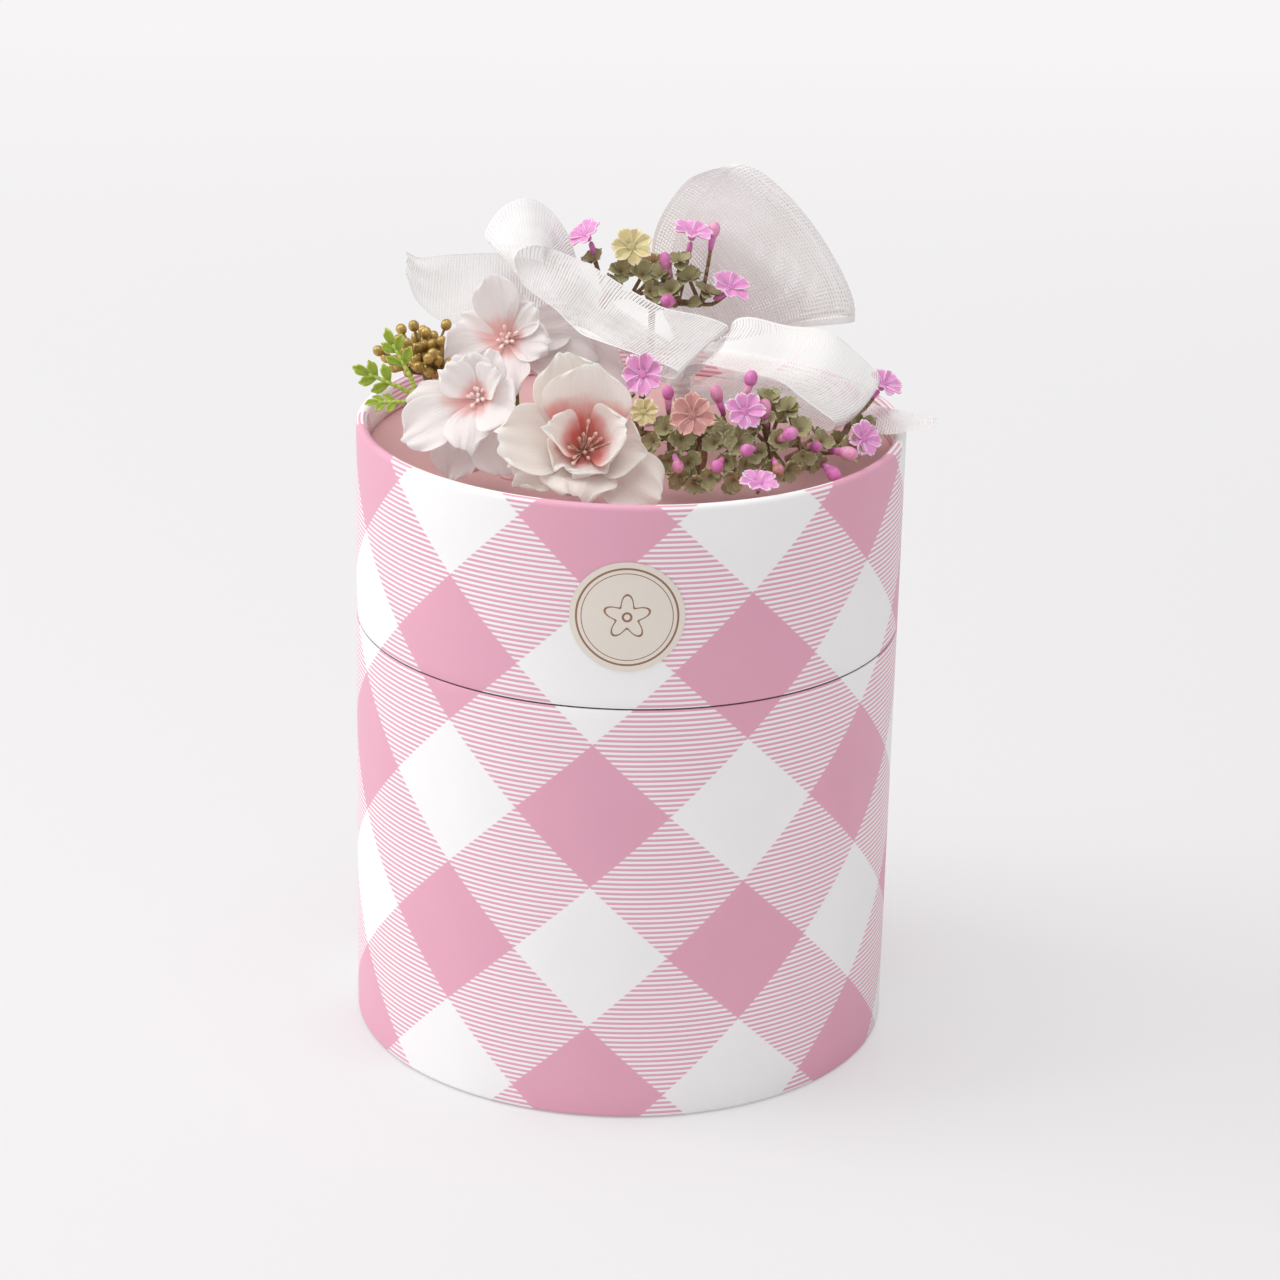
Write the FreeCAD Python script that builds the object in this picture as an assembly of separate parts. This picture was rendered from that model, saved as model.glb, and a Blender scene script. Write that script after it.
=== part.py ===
import FreeCAD, Part
import math
import os
from FreeCAD import Placement, Rotation, Vector

os.makedirs("parts", exist_ok=True)

# Box and lid: a round paper tube box whose lid runs on an inner neck
outer_diameter = 150.0
box_height = 175.0         # floor to the crest of the lid's rolled rim
lid_height = 56.0          # crest of the rim down to the seam
seam_gap = 0.4             # thin line between lid and base
board = 2.2                # wall of both outer tubes
paper = 0.3                # printed wrap
glue_line = 0.1            # film between glued faces
foot_chamfer = 1.0         # outer foot edge, broken so that the wrap turns in over it
wrap_lift = 0.3            # lower edge of the base wrap over the floor
neck_board = 1.6           # wall of the neck tube
neck_chamfer = 0.5         # outer edge of the neck's mouth, where the lid slides on
neck_projection = 38.0     # neck above the seam
slide_clearance = 0.4      # neck to the bore that slides on it
bottom_recess = 3.0        # base disc above the floor
disc_board = 2.0           # both discs
facing_paper = 0.3         # plain paper on the lid's disc
recess_depth = 8.5         # crest of the rim down to the facing
roll_share = 0.6           # broken part of the rim's half thickness
label_diameter = 30.0
label_paper = 0.15
label_drop = 30.0          # crest of the rim down to the label's centre

# Flowers: every height is over the crest of the rim, stems reach down to the facing
drawn_recess = 72.0        # radius of the recess that the flowers and the bow are drawn for
petal_thick = 0.5
petal_root = 2.9           # radius where the petals leave their collar
petal_across = (-1.0, 0.0, 1.0)                                    # points of a petal's section
petal_stations = ((0.0, 0.16), (0.35, 0.62), (0.7, 1.0), (1.0, 0.55))   # part of length, part of width
petal_cup = 0.25           # lift of a petal's edge over its half width
collar_thick = 0.6
collar_sides = 8
hub_radius = 1.8
hub_height = 2.4
hub_clearance = 0.5
layer_gap = 0.7            # inner petals' collar over the outer one
filament = 0.6             # across the corners of a stamen's filament
anther = 1.3               # across the corners where it ends
thread_sides = 4
foot_share = 0.6           # part of the hub that the filaments stand on
golden_turn = 137.5        # degrees from one filament or wire to the next
stem_radius = 0.9
stem_sides = 6
calyx_radius = 3.2
calyx_length = 5.0
twig_radius = 0.6
twig_sides = 4
bead_size = 3.0
bead_end = 0.6             # flat ends of a bead over its girdle
bead_sides = 5
wire_radius = 0.5
bead_count = 12
floret_petals = 7
floret_thick = 0.5
floret_throat = 0.24       # throat over a floret's radius
floret_rise = 0.42         # lift of a floret's petals over their reach
peg_length = 2.2
leaf_thick = 0.5
seat_clearance = 0.2       # piece to the piece that carries it
dab_height = 1.6           # hot-melt glue under a stem
dab_radius = 5.0
dab_crown = 3.0            # radius where the top of a dab begins
dab_sides = 6
foot_clearance = 0.7       # slanted end of a stem to its dab
flat_limit = 1e-6          # four corners count as flat within this, mm

# Ribbon bow
ribbon_thick = 0.5
tie_radius = 3.0
tie_below = 12.0           # tie under the middle of the gathers
tie_above = 6.0            # and over it
tie_sides = 10
tie_place = (13.0, 8.0)
tie_up = 14.0              # middle of the gathers over the rim
gather_width = 6.0         # ribbon drawn in at the tie

# Worked out from the sizes above
outer_radius = outer_diameter / 2
wrap_bore = outer_radius - paper
board_outer = wrap_bore - glue_line
bore = board_outer - board
recess_radius = bore - glue_line - paper
fill = recess_radius / drawn_recess   # flowers and bow grow with the recess that they fill
neck_outer = bore - slide_clearance
neck_bore = neck_outer - neck_board
seam_z = box_height - lid_height
lid_bottom = seam_z + seam_gap
rim_break = roll_share * (outer_radius - recess_radius) / 2
seat_z = box_height - recess_depth
lid_disc_top = seat_z - facing_paper
base_disc_top = bottom_recess + disc_board
disc_radius = bore - glue_line
up_z = Vector(0, 0, 1)


def at(x, y, up):
    """Point at a height over the crest of the rim."""
    return Vector(fill * x, fill * y, box_height + fill * up)


def line(start, end):
    return Part.LineSegment(start, end).toShape()


def side(radius, height):
    return Vector(radius, 0, height)


def turned(edges):
    """Full revolve of a closed profile in the XZ plane."""
    return Part.Face(Part.Wire(edges)).revolve(Vector(), up_z, 360)


def chain(points):
    """Closed profile of straight edges."""
    return [line(a, b) for a, b in zip(points, points[1:] + points[:1])]


def ring(inner, outer, low, high):
    corners = [side(inner, low), side(outer, low), side(outer, high), side(inner, high)]
    return turned(chain(corners))


def disc(radius, low, high):
    return Part.makeCylinder(radius, high - low, side(0, low))


def aimed(origin, axis):
    """Placement that carries local Z onto the axis."""
    return Placement(origin, Rotation(up_z, Vector(*axis)))


def placed(shape, placement):
    copy = shape.copy()
    copy.Placement = placement.multiply(copy.Placement)
    return copy


def fused(shapes):
    return shapes[0].multiFuse(shapes[1:]).removeSplitter()


def polygon(sides, radius, height):
    """Regular outline at a height, closed."""
    turns = [2 * math.pi * k / sides for k in range(sides)]
    return [Vector(radius * math.cos(a), radius * math.sin(a), height) for a in turns]


def prism(sides, radius, low, high):
    section = Part.Face(Part.Wire(chain(polygon(sides, radius, low))))
    return section.extrude(Vector(0, 0, high - low))


def rod(start, end, radius, sides):
    """Straight stem or wire with flat sides."""
    run = end - start
    return placed(prism(sides, radius, 0, run.Length), aimed(start, tuple(run)))


def facets(points):
    """Flat face through the points, or two triangles where four points are not in one plane."""
    first, second, third = points[:3]
    normal = (second - first).cross(third - first)
    if len(points) == 4 and abs(normal.dot(points[3] - first)) > flat_limit * normal.Length:
        return facets(points[:3]) + facets([points[0], points[2], points[3]])
    return [Part.Face(Part.Wire(chain(points)))]


def banded(sections):
    """Closed solid of flat facets through outlines with equal numbers of points."""
    faces = facets(sections[0][::-1]) + facets(sections[-1])
    for near, far in zip(sections, sections[1:]):
        for k in range(len(near)):
            after = (k + 1) % len(near)
            faces += facets([near[k], near[after], far[after], far[k]])
    shell = Part.makeShell(faces)
    shell.sewShape()
    solid = Part.makeSolid(shell)
    if solid.Volume < 0:
        solid.reverse()
    return solid


def save(name, shape):
    shape.exportStep("parts/" + name + ".step")


# Box, neck and discs

def make_base():
    tube = [
        side(bore, 0), side(board_outer - foot_chamfer, 0), side(board_outer, foot_chamfer),
        side(board_outer, seam_z), side(bore, seam_z),
    ]
    save("base_tube", turned(chain(tube)))

    turn_z = foot_chamfer + glue_line
    inset = turn_z - wrap_lift
    wrap = [
        side(wrap_bore - inset, wrap_lift), side(outer_radius - inset, wrap_lift), side(outer_radius, turn_z),
        side(outer_radius, seam_z), side(wrap_bore, seam_z), side(wrap_bore, turn_z),
    ]
    save("base_wrap", turned(chain(wrap)))
    save("base_disc", disc(disc_radius, bottom_recess, base_disc_top))

    neck_low = base_disc_top + glue_line
    neck_high = seam_z + neck_projection
    neck = [
        side(neck_bore, neck_low), side(neck_outer, neck_low), side(neck_outer, neck_high - neck_chamfer),
        side(neck_outer - neck_chamfer, neck_high), side(neck_bore, neck_high),
    ]
    save("neck_tube", turned(chain(neck)))


def rim_profile(outer, inner, top):
    """Broken edge of the rim, from the outer wall over the crest to the inner wall."""
    edge = top - rim_break
    return [side(outer, edge), side(outer - rim_break, top), side(inner + rim_break, top), side(inner, edge)]


def make_lid():
    tube_top = box_height - paper - glue_line
    tube = [side(bore, lid_bottom), side(board_outer, lid_bottom)] + rim_profile(board_outer, bore, tube_top)
    save("lid_tube", turned(chain(tube)))

    wrap_end = seat_z + glue_line
    inside = recess_radius + paper
    under = rim_profile(wrap_bore, inside, box_height - paper)
    wrap = [side(wrap_bore, lid_bottom), side(outer_radius, lid_bottom)]
    wrap += rim_profile(outer_radius, recess_radius, box_height)
    wrap += [side(recess_radius, wrap_end), side(inside, wrap_end)] + under[::-1]
    save("lid_wrap", turned(chain(wrap)))
    save("lid_disc", disc(disc_radius, lid_disc_top - disc_board, lid_disc_top))
    save("lid_disc_facing", disc(disc_radius, lid_disc_top, seat_z))

    skin_inner = outer_radius + glue_line
    label_z = box_height - label_drop
    half = label_diameter / 2
    skin = ring(skin_inner, skin_inner + label_paper, label_z - half, label_z + half)
    punch = Part.makeCylinder(half, outer_diameter, Vector(0, 0, label_z), Vector(0, -1, 0))
    save("label_sticker", skin.common(punch))


# Blossoms

def petal(length, width, rise, curl):
    """Thin cupped petal along +X: an arc that leaves its root at rise and turns by curl, in degrees."""
    start = math.radians(rise)
    turn = math.radians(curl)
    sections = []
    for along, share in petal_stations:
        bend = start + turn * along
        reach = petal_root + fill * length * (math.sin(bend) - math.sin(start)) / turn
        height = fill * length * (math.cos(start) - math.cos(bend)) / turn
        half = fill * share * width / 2
        upper = [Vector(reach, half * u, height + half * petal_cup * u * u) for u in petal_across]
        lower = [point - Vector(0, 0, petal_thick) for point in reversed(upper)]
        sections.append(upper + lower)
    return banded(sections)


def corolla(petals):
    """One layer of a blossom: petals on a collar with a hole for the hub."""
    plate = prism(collar_sides, petal_root + collar_thick, -collar_thick, 0)
    parts = [plate.cut(prism(collar_sides, hub_radius + hub_clearance, -collar_thick, 0))]
    for turn, length, width, rise, curl in petals:
        parts.append(placed(petal(length, width, rise, curl), Placement(Vector(), Rotation(up_z, turn))))
    return fused(parts)


def stamens(count, length, spread):
    """Hub with a tuft of filaments that widen to their anthers, the outermost leaning by spread."""
    parts = [prism(collar_sides, hub_radius, -hub_height / 2, hub_height / 2)]
    for k in range(count):
        ring_share = math.sqrt((k + 0.5) / count)
        turn = math.radians(golden_turn * k)
        lean = math.radians(spread) * ring_share
        way = Vector(math.sin(lean) * math.cos(turn), math.sin(lean) * math.sin(turn), math.cos(lean))
        out = foot_share * hub_radius * ring_share
        foot = Vector(out * math.cos(turn), out * math.sin(turn), hub_height / 2 - filament)
        thread = [polygon(thread_sides, filament / 2, 0), polygon(thread_sides, anther / 2, fill * length)]
        parts.append(placed(banded(thread), aimed(foot, tuple(way))))
    return fused(parts)


def calyx(origin, axis, elbow, foot):
    """Green cup behind the petals on a bent wire stem."""
    way = Vector(*axis).normalize()
    top = origin - way * (hub_height / 2 + collar_thick + seat_clearance)
    cup = banded([polygon(stem_sides, calyx_radius, 0), polygon(stem_sides, stem_radius, calyx_length)])
    back = top - way * (calyx_length - stem_radius)
    over = (elbow - foot).normalize() * stem_radius
    return fused([
        placed(cup, aimed(top, tuple(-way))),
        rod(back, elbow, stem_radius, stem_sides),
        rod(foot, elbow + over, stem_radius, stem_sides),
    ])


def foot_at(x, y):
    """Where a stem ends, just over its dab of glue."""
    return Vector(fill * x, fill * y, seat_z + dab_height + foot_clearance)


# Every petal: turn about the blossom's axis, length, width, rise at its root and curl.
# Stamens: length and spread.
blossoms = {
    "front": {
        "place": at(-12.5, -49, 5.5), "axis": (0.05, -0.75, 0.66),
        "outer": [(108, 27, 20, 26, 14), (207, 21, 17, 20, -10), (265, 18, 21, 37, -14),
                  (326, 25, 19, 18, -14)],
        "inner": [(8, 17, 18, 42, 26), (90, 24, 24, 34, 22), (170, 16, 13, 48, 16),
                  (240, 12, 17, 34, 14), (305, 12.5, 16, 36, 14)],
        "stamen_count": 7, "stamens": (8.0, 46), "elbow": at(-13, -40, -0.5), "foot": (-13, -38),
    },
    "left": {
        "place": at(-40, -34, 15), "axis": (-0.3, -0.78, 0.55),
        "outer": [(60, 13, 13, 16, 10), (115, 13, 13, 12, 10), (175, 20, 14, 4, 2),
                  (238, 23, 14, -4, -6), (280, 22, 14, 1, -8)],
        "inner": [(20, 12, 11, 40, 14), (130, 12, 11, 36, 12), (203, 23, 16, 14, -4),
                  (256, 16.5, 14, 22, -4), (318, 16, 16, 26, 4)],
        "stamen_count": 3, "stamens": (3.2, 30), "elbow": at(-31, -26, 4), "foot": (-30, -26),
    },
    "upper": {
        "place": at(-34, -9, 23.5), "axis": (-0.1, -0.8, 0.6),
        "outer": [(12, 18.5, 14, 2, 2), (150, 14, 13, 4, 4), (238, 18, 15, 1, -8), (340, 26, 17, -1, 3)],
        "inner": [(40, 12, 11, 26, 6), (100, 18, 13, 28, 10), (205, 17.5, 16, 14, -2),
                  (275, 16.5, 12.5, 18, -4), (340, 13, 12, 20, 2)],
        "stamen_count": 3, "stamens": (3.2, 30), "elbow": at(-32, -1, 12), "foot": (-31, -1),
    },
}


def make_blossom(name, spec):
    seat = aimed(spec["place"], spec["axis"])
    lifted = seat.multiply(Placement(Vector(0, 0, collar_thick + layer_gap), Rotation()))
    save(name + "_blossom_outer_petals", placed(corolla(spec["outer"]), seat))
    save(name + "_blossom_inner_petals", placed(corolla(spec["inner"]), lifted))
    save(name + "_blossom_stamens", placed(stamens(spec["stamen_count"], *spec["stamens"]), seat))
    foot = foot_at(*spec["foot"])
    save(name + "_blossom_calyx", calyx(spec["place"], spec["axis"], spec["elbow"], foot))


# Sprigs

def bead(size):
    """Small faceted ball: a girdle that narrows to both ends."""
    half = size / 2
    end = bead_end * half
    girdle = polygon(bead_sides, half, 0)
    return banded([polygon(bead_sides, end, -half), girdle, polygon(bead_sides, end, half)])


def star(radius, height):
    """Outline of a floret: petals with a notch at the tip."""
    sector = 2 * math.pi / floret_petals
    outline = ((0.42, 0.0), (1.0, 0.24), (0.86, 0.5), (1.0, 0.76))
    turns = [(share, sector * (k + turn)) for k in range(floret_petals) for share, turn in outline]
    return [Vector(radius * share * math.cos(a), radius * share * math.sin(a), height) for share, a in turns]


def floret(radius):
    """Dished flower with notched petals on a peg, base of the peg at the origin."""
    throat = floret_throat * radius
    rise = floret_rise * (radius - throat)
    dish = banded([star(throat, 0), star(radius, rise), star(throat, floret_thick)])
    peg = prism(stem_sides, twig_radius, 0, peg_length + floret_thick / 2)
    return fused([peg, placed(dish, Placement(Vector(0, 0, peg_length), Rotation()))])


def round_leaf(radius):
    """Small blunt leaf along +X, its stalk end at the origin."""
    half_points = ((0.0, 0.2), (0.7, 0.95), (1.6, 0.9), (2.2, 0.25))
    upper = [Vector(radius * x, radius * y, 0) for x, y in half_points]
    lower = [Vector(p.x, -p.y, 0) for p in reversed(upper)]
    return Part.Face(Part.Wire(chain(upper + lower))).extrude(Vector(0, 0, leaf_thick))


def lobed_leaf(length):
    """Flat frond along +X with two pairs of side lobes."""
    half_points = ((0.0, 0.05), (0.3, 0.07), (0.42, 0.36), (0.56, 0.38), (0.52, 0.1),
                   (0.66, 0.12), (0.78, 0.32), (0.9, 0.3), (0.84, 0.12), (1.0, 0.1))
    upper = [Vector(length * x, length * y, 0) for x, y in half_points]
    lower = [Vector(p.x, -p.y, 0) for p in reversed(upper)]
    return Part.Face(Part.Wire(chain(upper + lower))).extrude(Vector(0, 0, leaf_thick))


def leaf_placed(leaf, root, way, face):
    """Lay a leaf from its root along a direction, its upper side towards face."""
    along = Vector(*way).normalize()
    across = Vector(*face).cross(along).normalize()
    normal = along.cross(across)
    return placed(leaf, Placement(root, Rotation(along, across, normal, "XYZ")))


def nearest(points, place):
    return min(points, key=place.distanceToPoint)


def sprig(foot, branch, tips, leaves):
    """Moulded stem: a trunk to the branch, a twig from the branch to each tip, leaves on short stalks."""
    knot = nearest(branch, foot)
    over = (knot - foot).normalize() * stem_radius
    parts = [rod(foot, knot + over, stem_radius, stem_sides)]
    for start, end in zip(branch, branch[1:]):
        past = (end - start).normalize() * twig_radius
        parts.append(rod(start, end + past, stem_radius, stem_sides))
    for tip in tips:
        parts.append(rod(nearest(branch, tip), tip, twig_radius, twig_sides))
    for leaf, root, way, face in leaves:
        parts.append(rod(nearest(branch, root), root + Vector(*way).normalize(), twig_radius, twig_sides))
        parts.append(leaf_placed(leaf, root, way, face))
    return fused(parts)


def floret_on(tip, axis, radius):
    way = Vector(*axis).normalize()
    return placed(floret(fill * radius), aimed(tip + way * (twig_radius + seat_clearance), axis))


def bud_on(tip, knot, size):
    way = (tip - knot).normalize()
    return placed(bead(fill * size), aimed(tip + way * (fill * size / 2 + seat_clearance), tuple(way)))


sprigs = {
    "back": {
        "foot": (2, 24),
        "branch": [at(-8, 15, 32), at(-1, 16, 30), at(5, 16, 27), at(12, 14, 29), at(18, 13, 29)],
        "florets": {
            "pink": [(at(-12, 15, 45), (-0.5, -0.3, 0.8), 5.4), (at(15, 17, 45), (0.15, -0.2, 0.95), 6.0),
                     (at(25, 12, 32), (0.3, -0.45, 0.8), 6.0)],
            "cream": [(at(-1, 14, 43), (0.0, -0.8, 0.6), 6.0), (at(5, 19, 36), (0.1, 0.4, 0.9), 5.0)],
        },
        "buds": [(at(9, 12, 39), 3.6), (at(21, 19, 46), 3.4), (at(10, 8, 31), 3.8), (at(-8, 9, 31), 3.2)],
        "leaves": [(2.6, at(-4, 13, 30), (-0.8, -0.2, 0.5), (-0.2, -0.7, 0.6)),
                   (2.4, at(14, 12, 29), (0.7, -0.4, 0.3), (0, -0.6, 0.8))],
    },
    "front": {
        "foot": (19, -26),
        "branch": [at(2, -38, 8), at(10, -38, 7), at(18, -37, 6), at(27, -39, 6), at(36, -40, 6),
                   at(44, -38, 6)],
        "florets": {
            "pink": [(at(3, -33, 22), (-0.1, -0.9, 0.4), 6.0), (at(29, -42, 15), (0.15, -0.85, 0.5), 5.4),
                     (at(33, -58, -1.2), (0.1, -0.35, 0.93), 5.4)],
            "dusty": [(at(16, -44, 14), (-0.05, -0.85, 0.5), 6.2)],
            "cream": [(at(3.5, -38, 12.6), (-0.1, -0.8, 0.55), 4.2)],
        },
        "buds": [(at(9.5, -39, 17.5), 3.2), (at(23, -39, 17), 3.4), (at(23, -53, 5), 3.4),
                 (at(38, -51, 4), 3.2), (at(40, -45, 10), 3.6), (at(12, -50, 4), 3.2),
                 (at(30.5, -37, 21), 3.6), (at(35, -42, 15), 3.4), (at(31, -50, 8), 3.4)],
        "leaves": [(3.0, at(34, -36, 15), (0.6, -0.1, 0.6), (0.1, -0.8, 0.5)),
                   (2.8, at(38, -39, 7), (0.9, -0.3, 0.2), (0, -0.7, 0.7)),
                   (2.8, at(12, -43, 1), (-0.6, -0.7, -0.1), (0, -0.4, 0.9)),
                   (2.8, at(18, -47, 0), (0.1, -0.9, -0.1), (0, -0.2, 0.95))],
    },
    "right": {
        "foot": (42, -14), "branch": [at(46, -30, 3), at(48, -20, 0), at(55, -24, 2), at(60, -9, 5)],
        "florets": {
            "pink": [(at(67, 3, 8.2), (0.5, -0.3, 0.75), 5.4), (at(60, -29, 4), (0.5, -0.7, 0.5), 5.4)],
        },
        "buds": [(at(48, -37, 5), 3.4), (at(55, -38, 4), 3.8), (at(52, -42, 0.5), 3.8)],
        "leaves": [(2.8, at(45, -36, 1), (0.0, -0.95, -0.05), (0.1, -0.1, 0.95)),
                   (2.6, at(62, -21, 2.5), (0.8, 0.1, 0.2), (-0.2, -0.3, 0.9))],
    },
}


def make_sprig(name, spec):
    branch = spec["branch"]
    tips = [tip for group in spec["florets"].values() for tip, axis, radius in group]
    tips += [tip for tip, size in spec["buds"]]
    leaves = [(round_leaf(fill * radius), root, way, face) for radius, root, way, face in spec["leaves"]]
    save(name + "_sprig_stems", sprig(foot_at(*spec["foot"]), branch, tips, leaves))
    for colour, group in spec["florets"].items():
        florets = [floret_on(tip, axis, radius) for tip, axis, radius in group]
        save(name + "_sprig_" + colour + "_florets", Part.makeCompound(florets))
    buds = [bud_on(tip, nearest(branch, tip), size) for tip, size in spec["buds"]]
    save(name + "_sprig_buds", Part.makeCompound(buds))


berry_foot = (-42, -4)
berry_knot = at(-56, -6, 13)
berry_axis = (-0.4, -0.15, 0.9)
berry_reach = 13.0
berry_step = 3.0           # every second wire is shorter by this
berry_spread = 58.0


def make_berries():
    """Beads on wires that fan out from one knot."""
    parts = [rod(foot_at(*berry_foot), berry_knot, stem_radius, stem_sides)]
    beads = []
    for k in range(bead_count):
        share = math.sqrt((k + 0.5) / bead_count)
        lean = math.radians(berry_spread) * share
        turn = math.radians(golden_turn * k)
        local = Vector(math.sin(lean) * math.cos(turn), math.sin(lean) * math.sin(turn), math.cos(lean))
        way = aimed(Vector(), berry_axis).Rotation.multVec(local)
        tip = berry_knot + way * fill * (berry_reach - berry_step * (k % 2))
        parts.append(rod(berry_knot, tip, wire_radius, twig_sides))
        beads.append(bud_on(tip, berry_knot, bead_size))
    save("berry_wires", fused(parts))
    save("berry_beads", Part.makeCompound(beads))


green_foot = (-45, -20)
green_knot = at(-57, -22, 11)
green_leaves = [
    (13.0, at(-59, -22, 17), (-0.45, 0.05, 0.85), (-0.3, -0.9, 0.1)),
    (13.0, at(-61, -23, 14), (-0.85, -0.1, 0.4), (-0.2, -0.9, 0.4)),
    (10.0, at(-60, -25, 11), (-0.88, -0.3, 0.05), (0.1, -0.5, 0.85)),
]


def make_green_sprig():
    leaves = [(lobed_leaf(fill * length), root, way, face) for length, root, way, face in green_leaves]
    save("green_leaf_sprig", sprig(foot_at(*green_foot), [green_knot], [], leaves))


# Ribbon bow

def gather(spec, up):
    """Gathered end of a ribbon, flat against the tie: its middle and its width."""
    ahead, aside, rise = spec["across"]
    out = Vector(aside, -ahead, 0).normalize() * spec["side"]
    middle = Vector(*tie_place) + out * ((tie_radius + seat_clearance + ribbon_thick) / fill)
    return (middle.x, middle.y, up, gather_width)


def ribbon(across, stations):
    """Thin band through slim rectangles, which lie along one direction or along their own where it twists."""
    middles = [at(*station[:3]) for station in stations]
    corners = []
    for k, (x, y, up, width, *twist) in enumerate(stations):
        middle = middles[k]
        ahead = middles[min(k + 1, len(middles) - 1)]
        behind = middles[max(k - 1, 0)]
        way = Vector(*(twist or across)).normalize()
        normal = (ahead - behind).cross(way).normalize() * ribbon_thick
        half = way * (fill * width / 2)
        corners.append([middle - half, middle + half, middle + half + normal, middle - half + normal])
    return banded(corners)


bow = {
    "bow_left_loop": {
        "across": (0.43, 0.88, 0.2), "side": -1, "starts": None, "ends": tie_up + 3, "stations": [
            (12, -13.5, 22.8, 25, 0.49, 0.84, 0.22), (17, -14.5, 22.6, 27, 0.49, 0.84, 0.22),
            (18.6, -14.6, 23.9, 27.4, 0.49, 0.84, 0.22), (17, -14.4, 25.3, 27.6, 0.5, 0.84, 0.21),
            (8.5, -13.5, 28.3, 29, 0.56, 0.82, 0.14), (-0.5, -11.2, 30, 27.5, 0.55, 0.82, 0.16),
            (-8, -7.5, 32.2, 25.5, 0.42, 0.86, 0.3), (-12.5, -4.5, 34.6, 23.5, 0.36, 0.86, 0.36),
            (-18, -1.5, 38, 21.5, 0.3, 0.87, 0.38), (-26, 1.5, 41, 19.5, 0.16, 0.89, 0.42),
            (-33, 3, 42, 18.5, -0.25, 0.92, 0.3), (-36.5, 4.5, 44, 18.5, -0.5, 0.84, 0.2),
            (-36, 6, 47.5, 18.5, -0.4, 0.85, 0.34), (-33, 7.5, 50.8, 18.5, -0.22, 0.86, 0.46),
            (-28, 9.5, 51.8, 18, -0.1, 0.87, 0.48), (-23.5, 12, 49, 17, 0.1, 0.93, 0.3),
            (-21, 13, 42.5, 16), (-17.5, 11.5, 34, 15), (-9, 10.5, 27, 12),
        ],
    },
    "bow_back_loop": {
        "across": (-0.62, 0.28, 0.73), "side": 1, "starts": tie_up, "ends": tie_up - 9, "stations": [
            (12, 22, 22, 17), (17, 24, 31, 36), (30, 21, 42, 50), (43, 18, 46.5, 54),
            (46, 23, 46, 53), (41, 31, 43, 50), (24, 38, 30, 36), (15, 33, 19, 16),
        ],
    },
    "bow_front_loop": {
        "across": (0.42, 0.89, 0.15), "side": 1, "starts": tie_up + 1, "ends": tie_up - 6, "stations": [
            (13, -7, 16.8, 19), (15.5, -13.5, 19.3, 27), (19.8, -14.6, 21.8, 30), (21.8, -14.6, 25.6, 31),
            (27, -14.6, 26.4, 32), (36.5, -16.5, 24.6, 32.4), (47, -18.5, 23.2, 33), (53, -19.5, 19.6, 33.5),
            (58, -20, 15.6, 33), (61, -20, 12.4, 32), (58, -14, 9, 32), (41, -8, 10, 29), (25, -4, 11, 20),
        ],
    },
    "bow_left_tail": {
        "across": (0.02, 0.66, 0.75), "side": -1, "starts": tie_up - 4, "ends": None, "stations": [
            (-12, 14, 27, 14), (-34, 12.5, 33, 19), (-49, 8, 33, 21), (-58, 7, 35.5, 14), (-62, 8, 40, 7),
        ],
    },
    "bow_right_tail": {
        "across": (0.16, 0.98, 0.1), "side": 1, "starts": tie_up - 10, "ends": None, "stations": [
            (41, 12, 2.5, 12), (59, 2, 2.2, 19), (69, -6, 2.6, 17), (82, -12, 5, 8),
        ],
    },
}


def make_bow():
    for name, spec in bow.items():
        stations = list(spec["stations"])
        if spec["starts"] is not None:
            stations.insert(0, gather(spec, spec["starts"]))
        if spec["ends"] is not None:
            stations.append(gather(spec, spec["ends"]))
        save(name, ribbon(spec["across"], stations))
    x, y = tie_place
    wrap_low = at(x, y, tie_up - tie_below)
    winding = prism(tie_sides, tie_radius, 0, fill * (tie_below + tie_above))
    save("bow_tie", fused([
        rod(foot_at(x, y), wrap_low, stem_radius, stem_sides),
        placed(winding, Placement(wrap_low, Rotation())),
    ]))


def make_dabs():
    """Hot-melt glue: a low dome under every stem."""
    feet = [spec["foot"] for spec in blossoms.values()] + [spec["foot"] for spec in sprigs.values()]
    feet += [berry_foot, green_foot, tie_place]
    dab = banded([polygon(dab_sides, dab_radius, 0), polygon(dab_sides, dab_crown, dab_height)])
    dabs = [placed(dab, Placement(Vector(fill * x, fill * y, seat_z), Rotation())) for x, y in feet]
    save("glue_dabs", Part.makeCompound(dabs))


make_base()
make_lid()
for blossom_name, blossom_spec in blossoms.items():
    make_blossom(blossom_name, blossom_spec)
for sprig_name, sprig_spec in sprigs.items():
    make_sprig(sprig_name, sprig_spec)
make_berries()
make_green_sprig()
make_bow()
make_dabs()
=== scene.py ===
import math
import random

import bmesh
import bpy
from mathutils import Matrix, Quaternion, Vector


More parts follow.
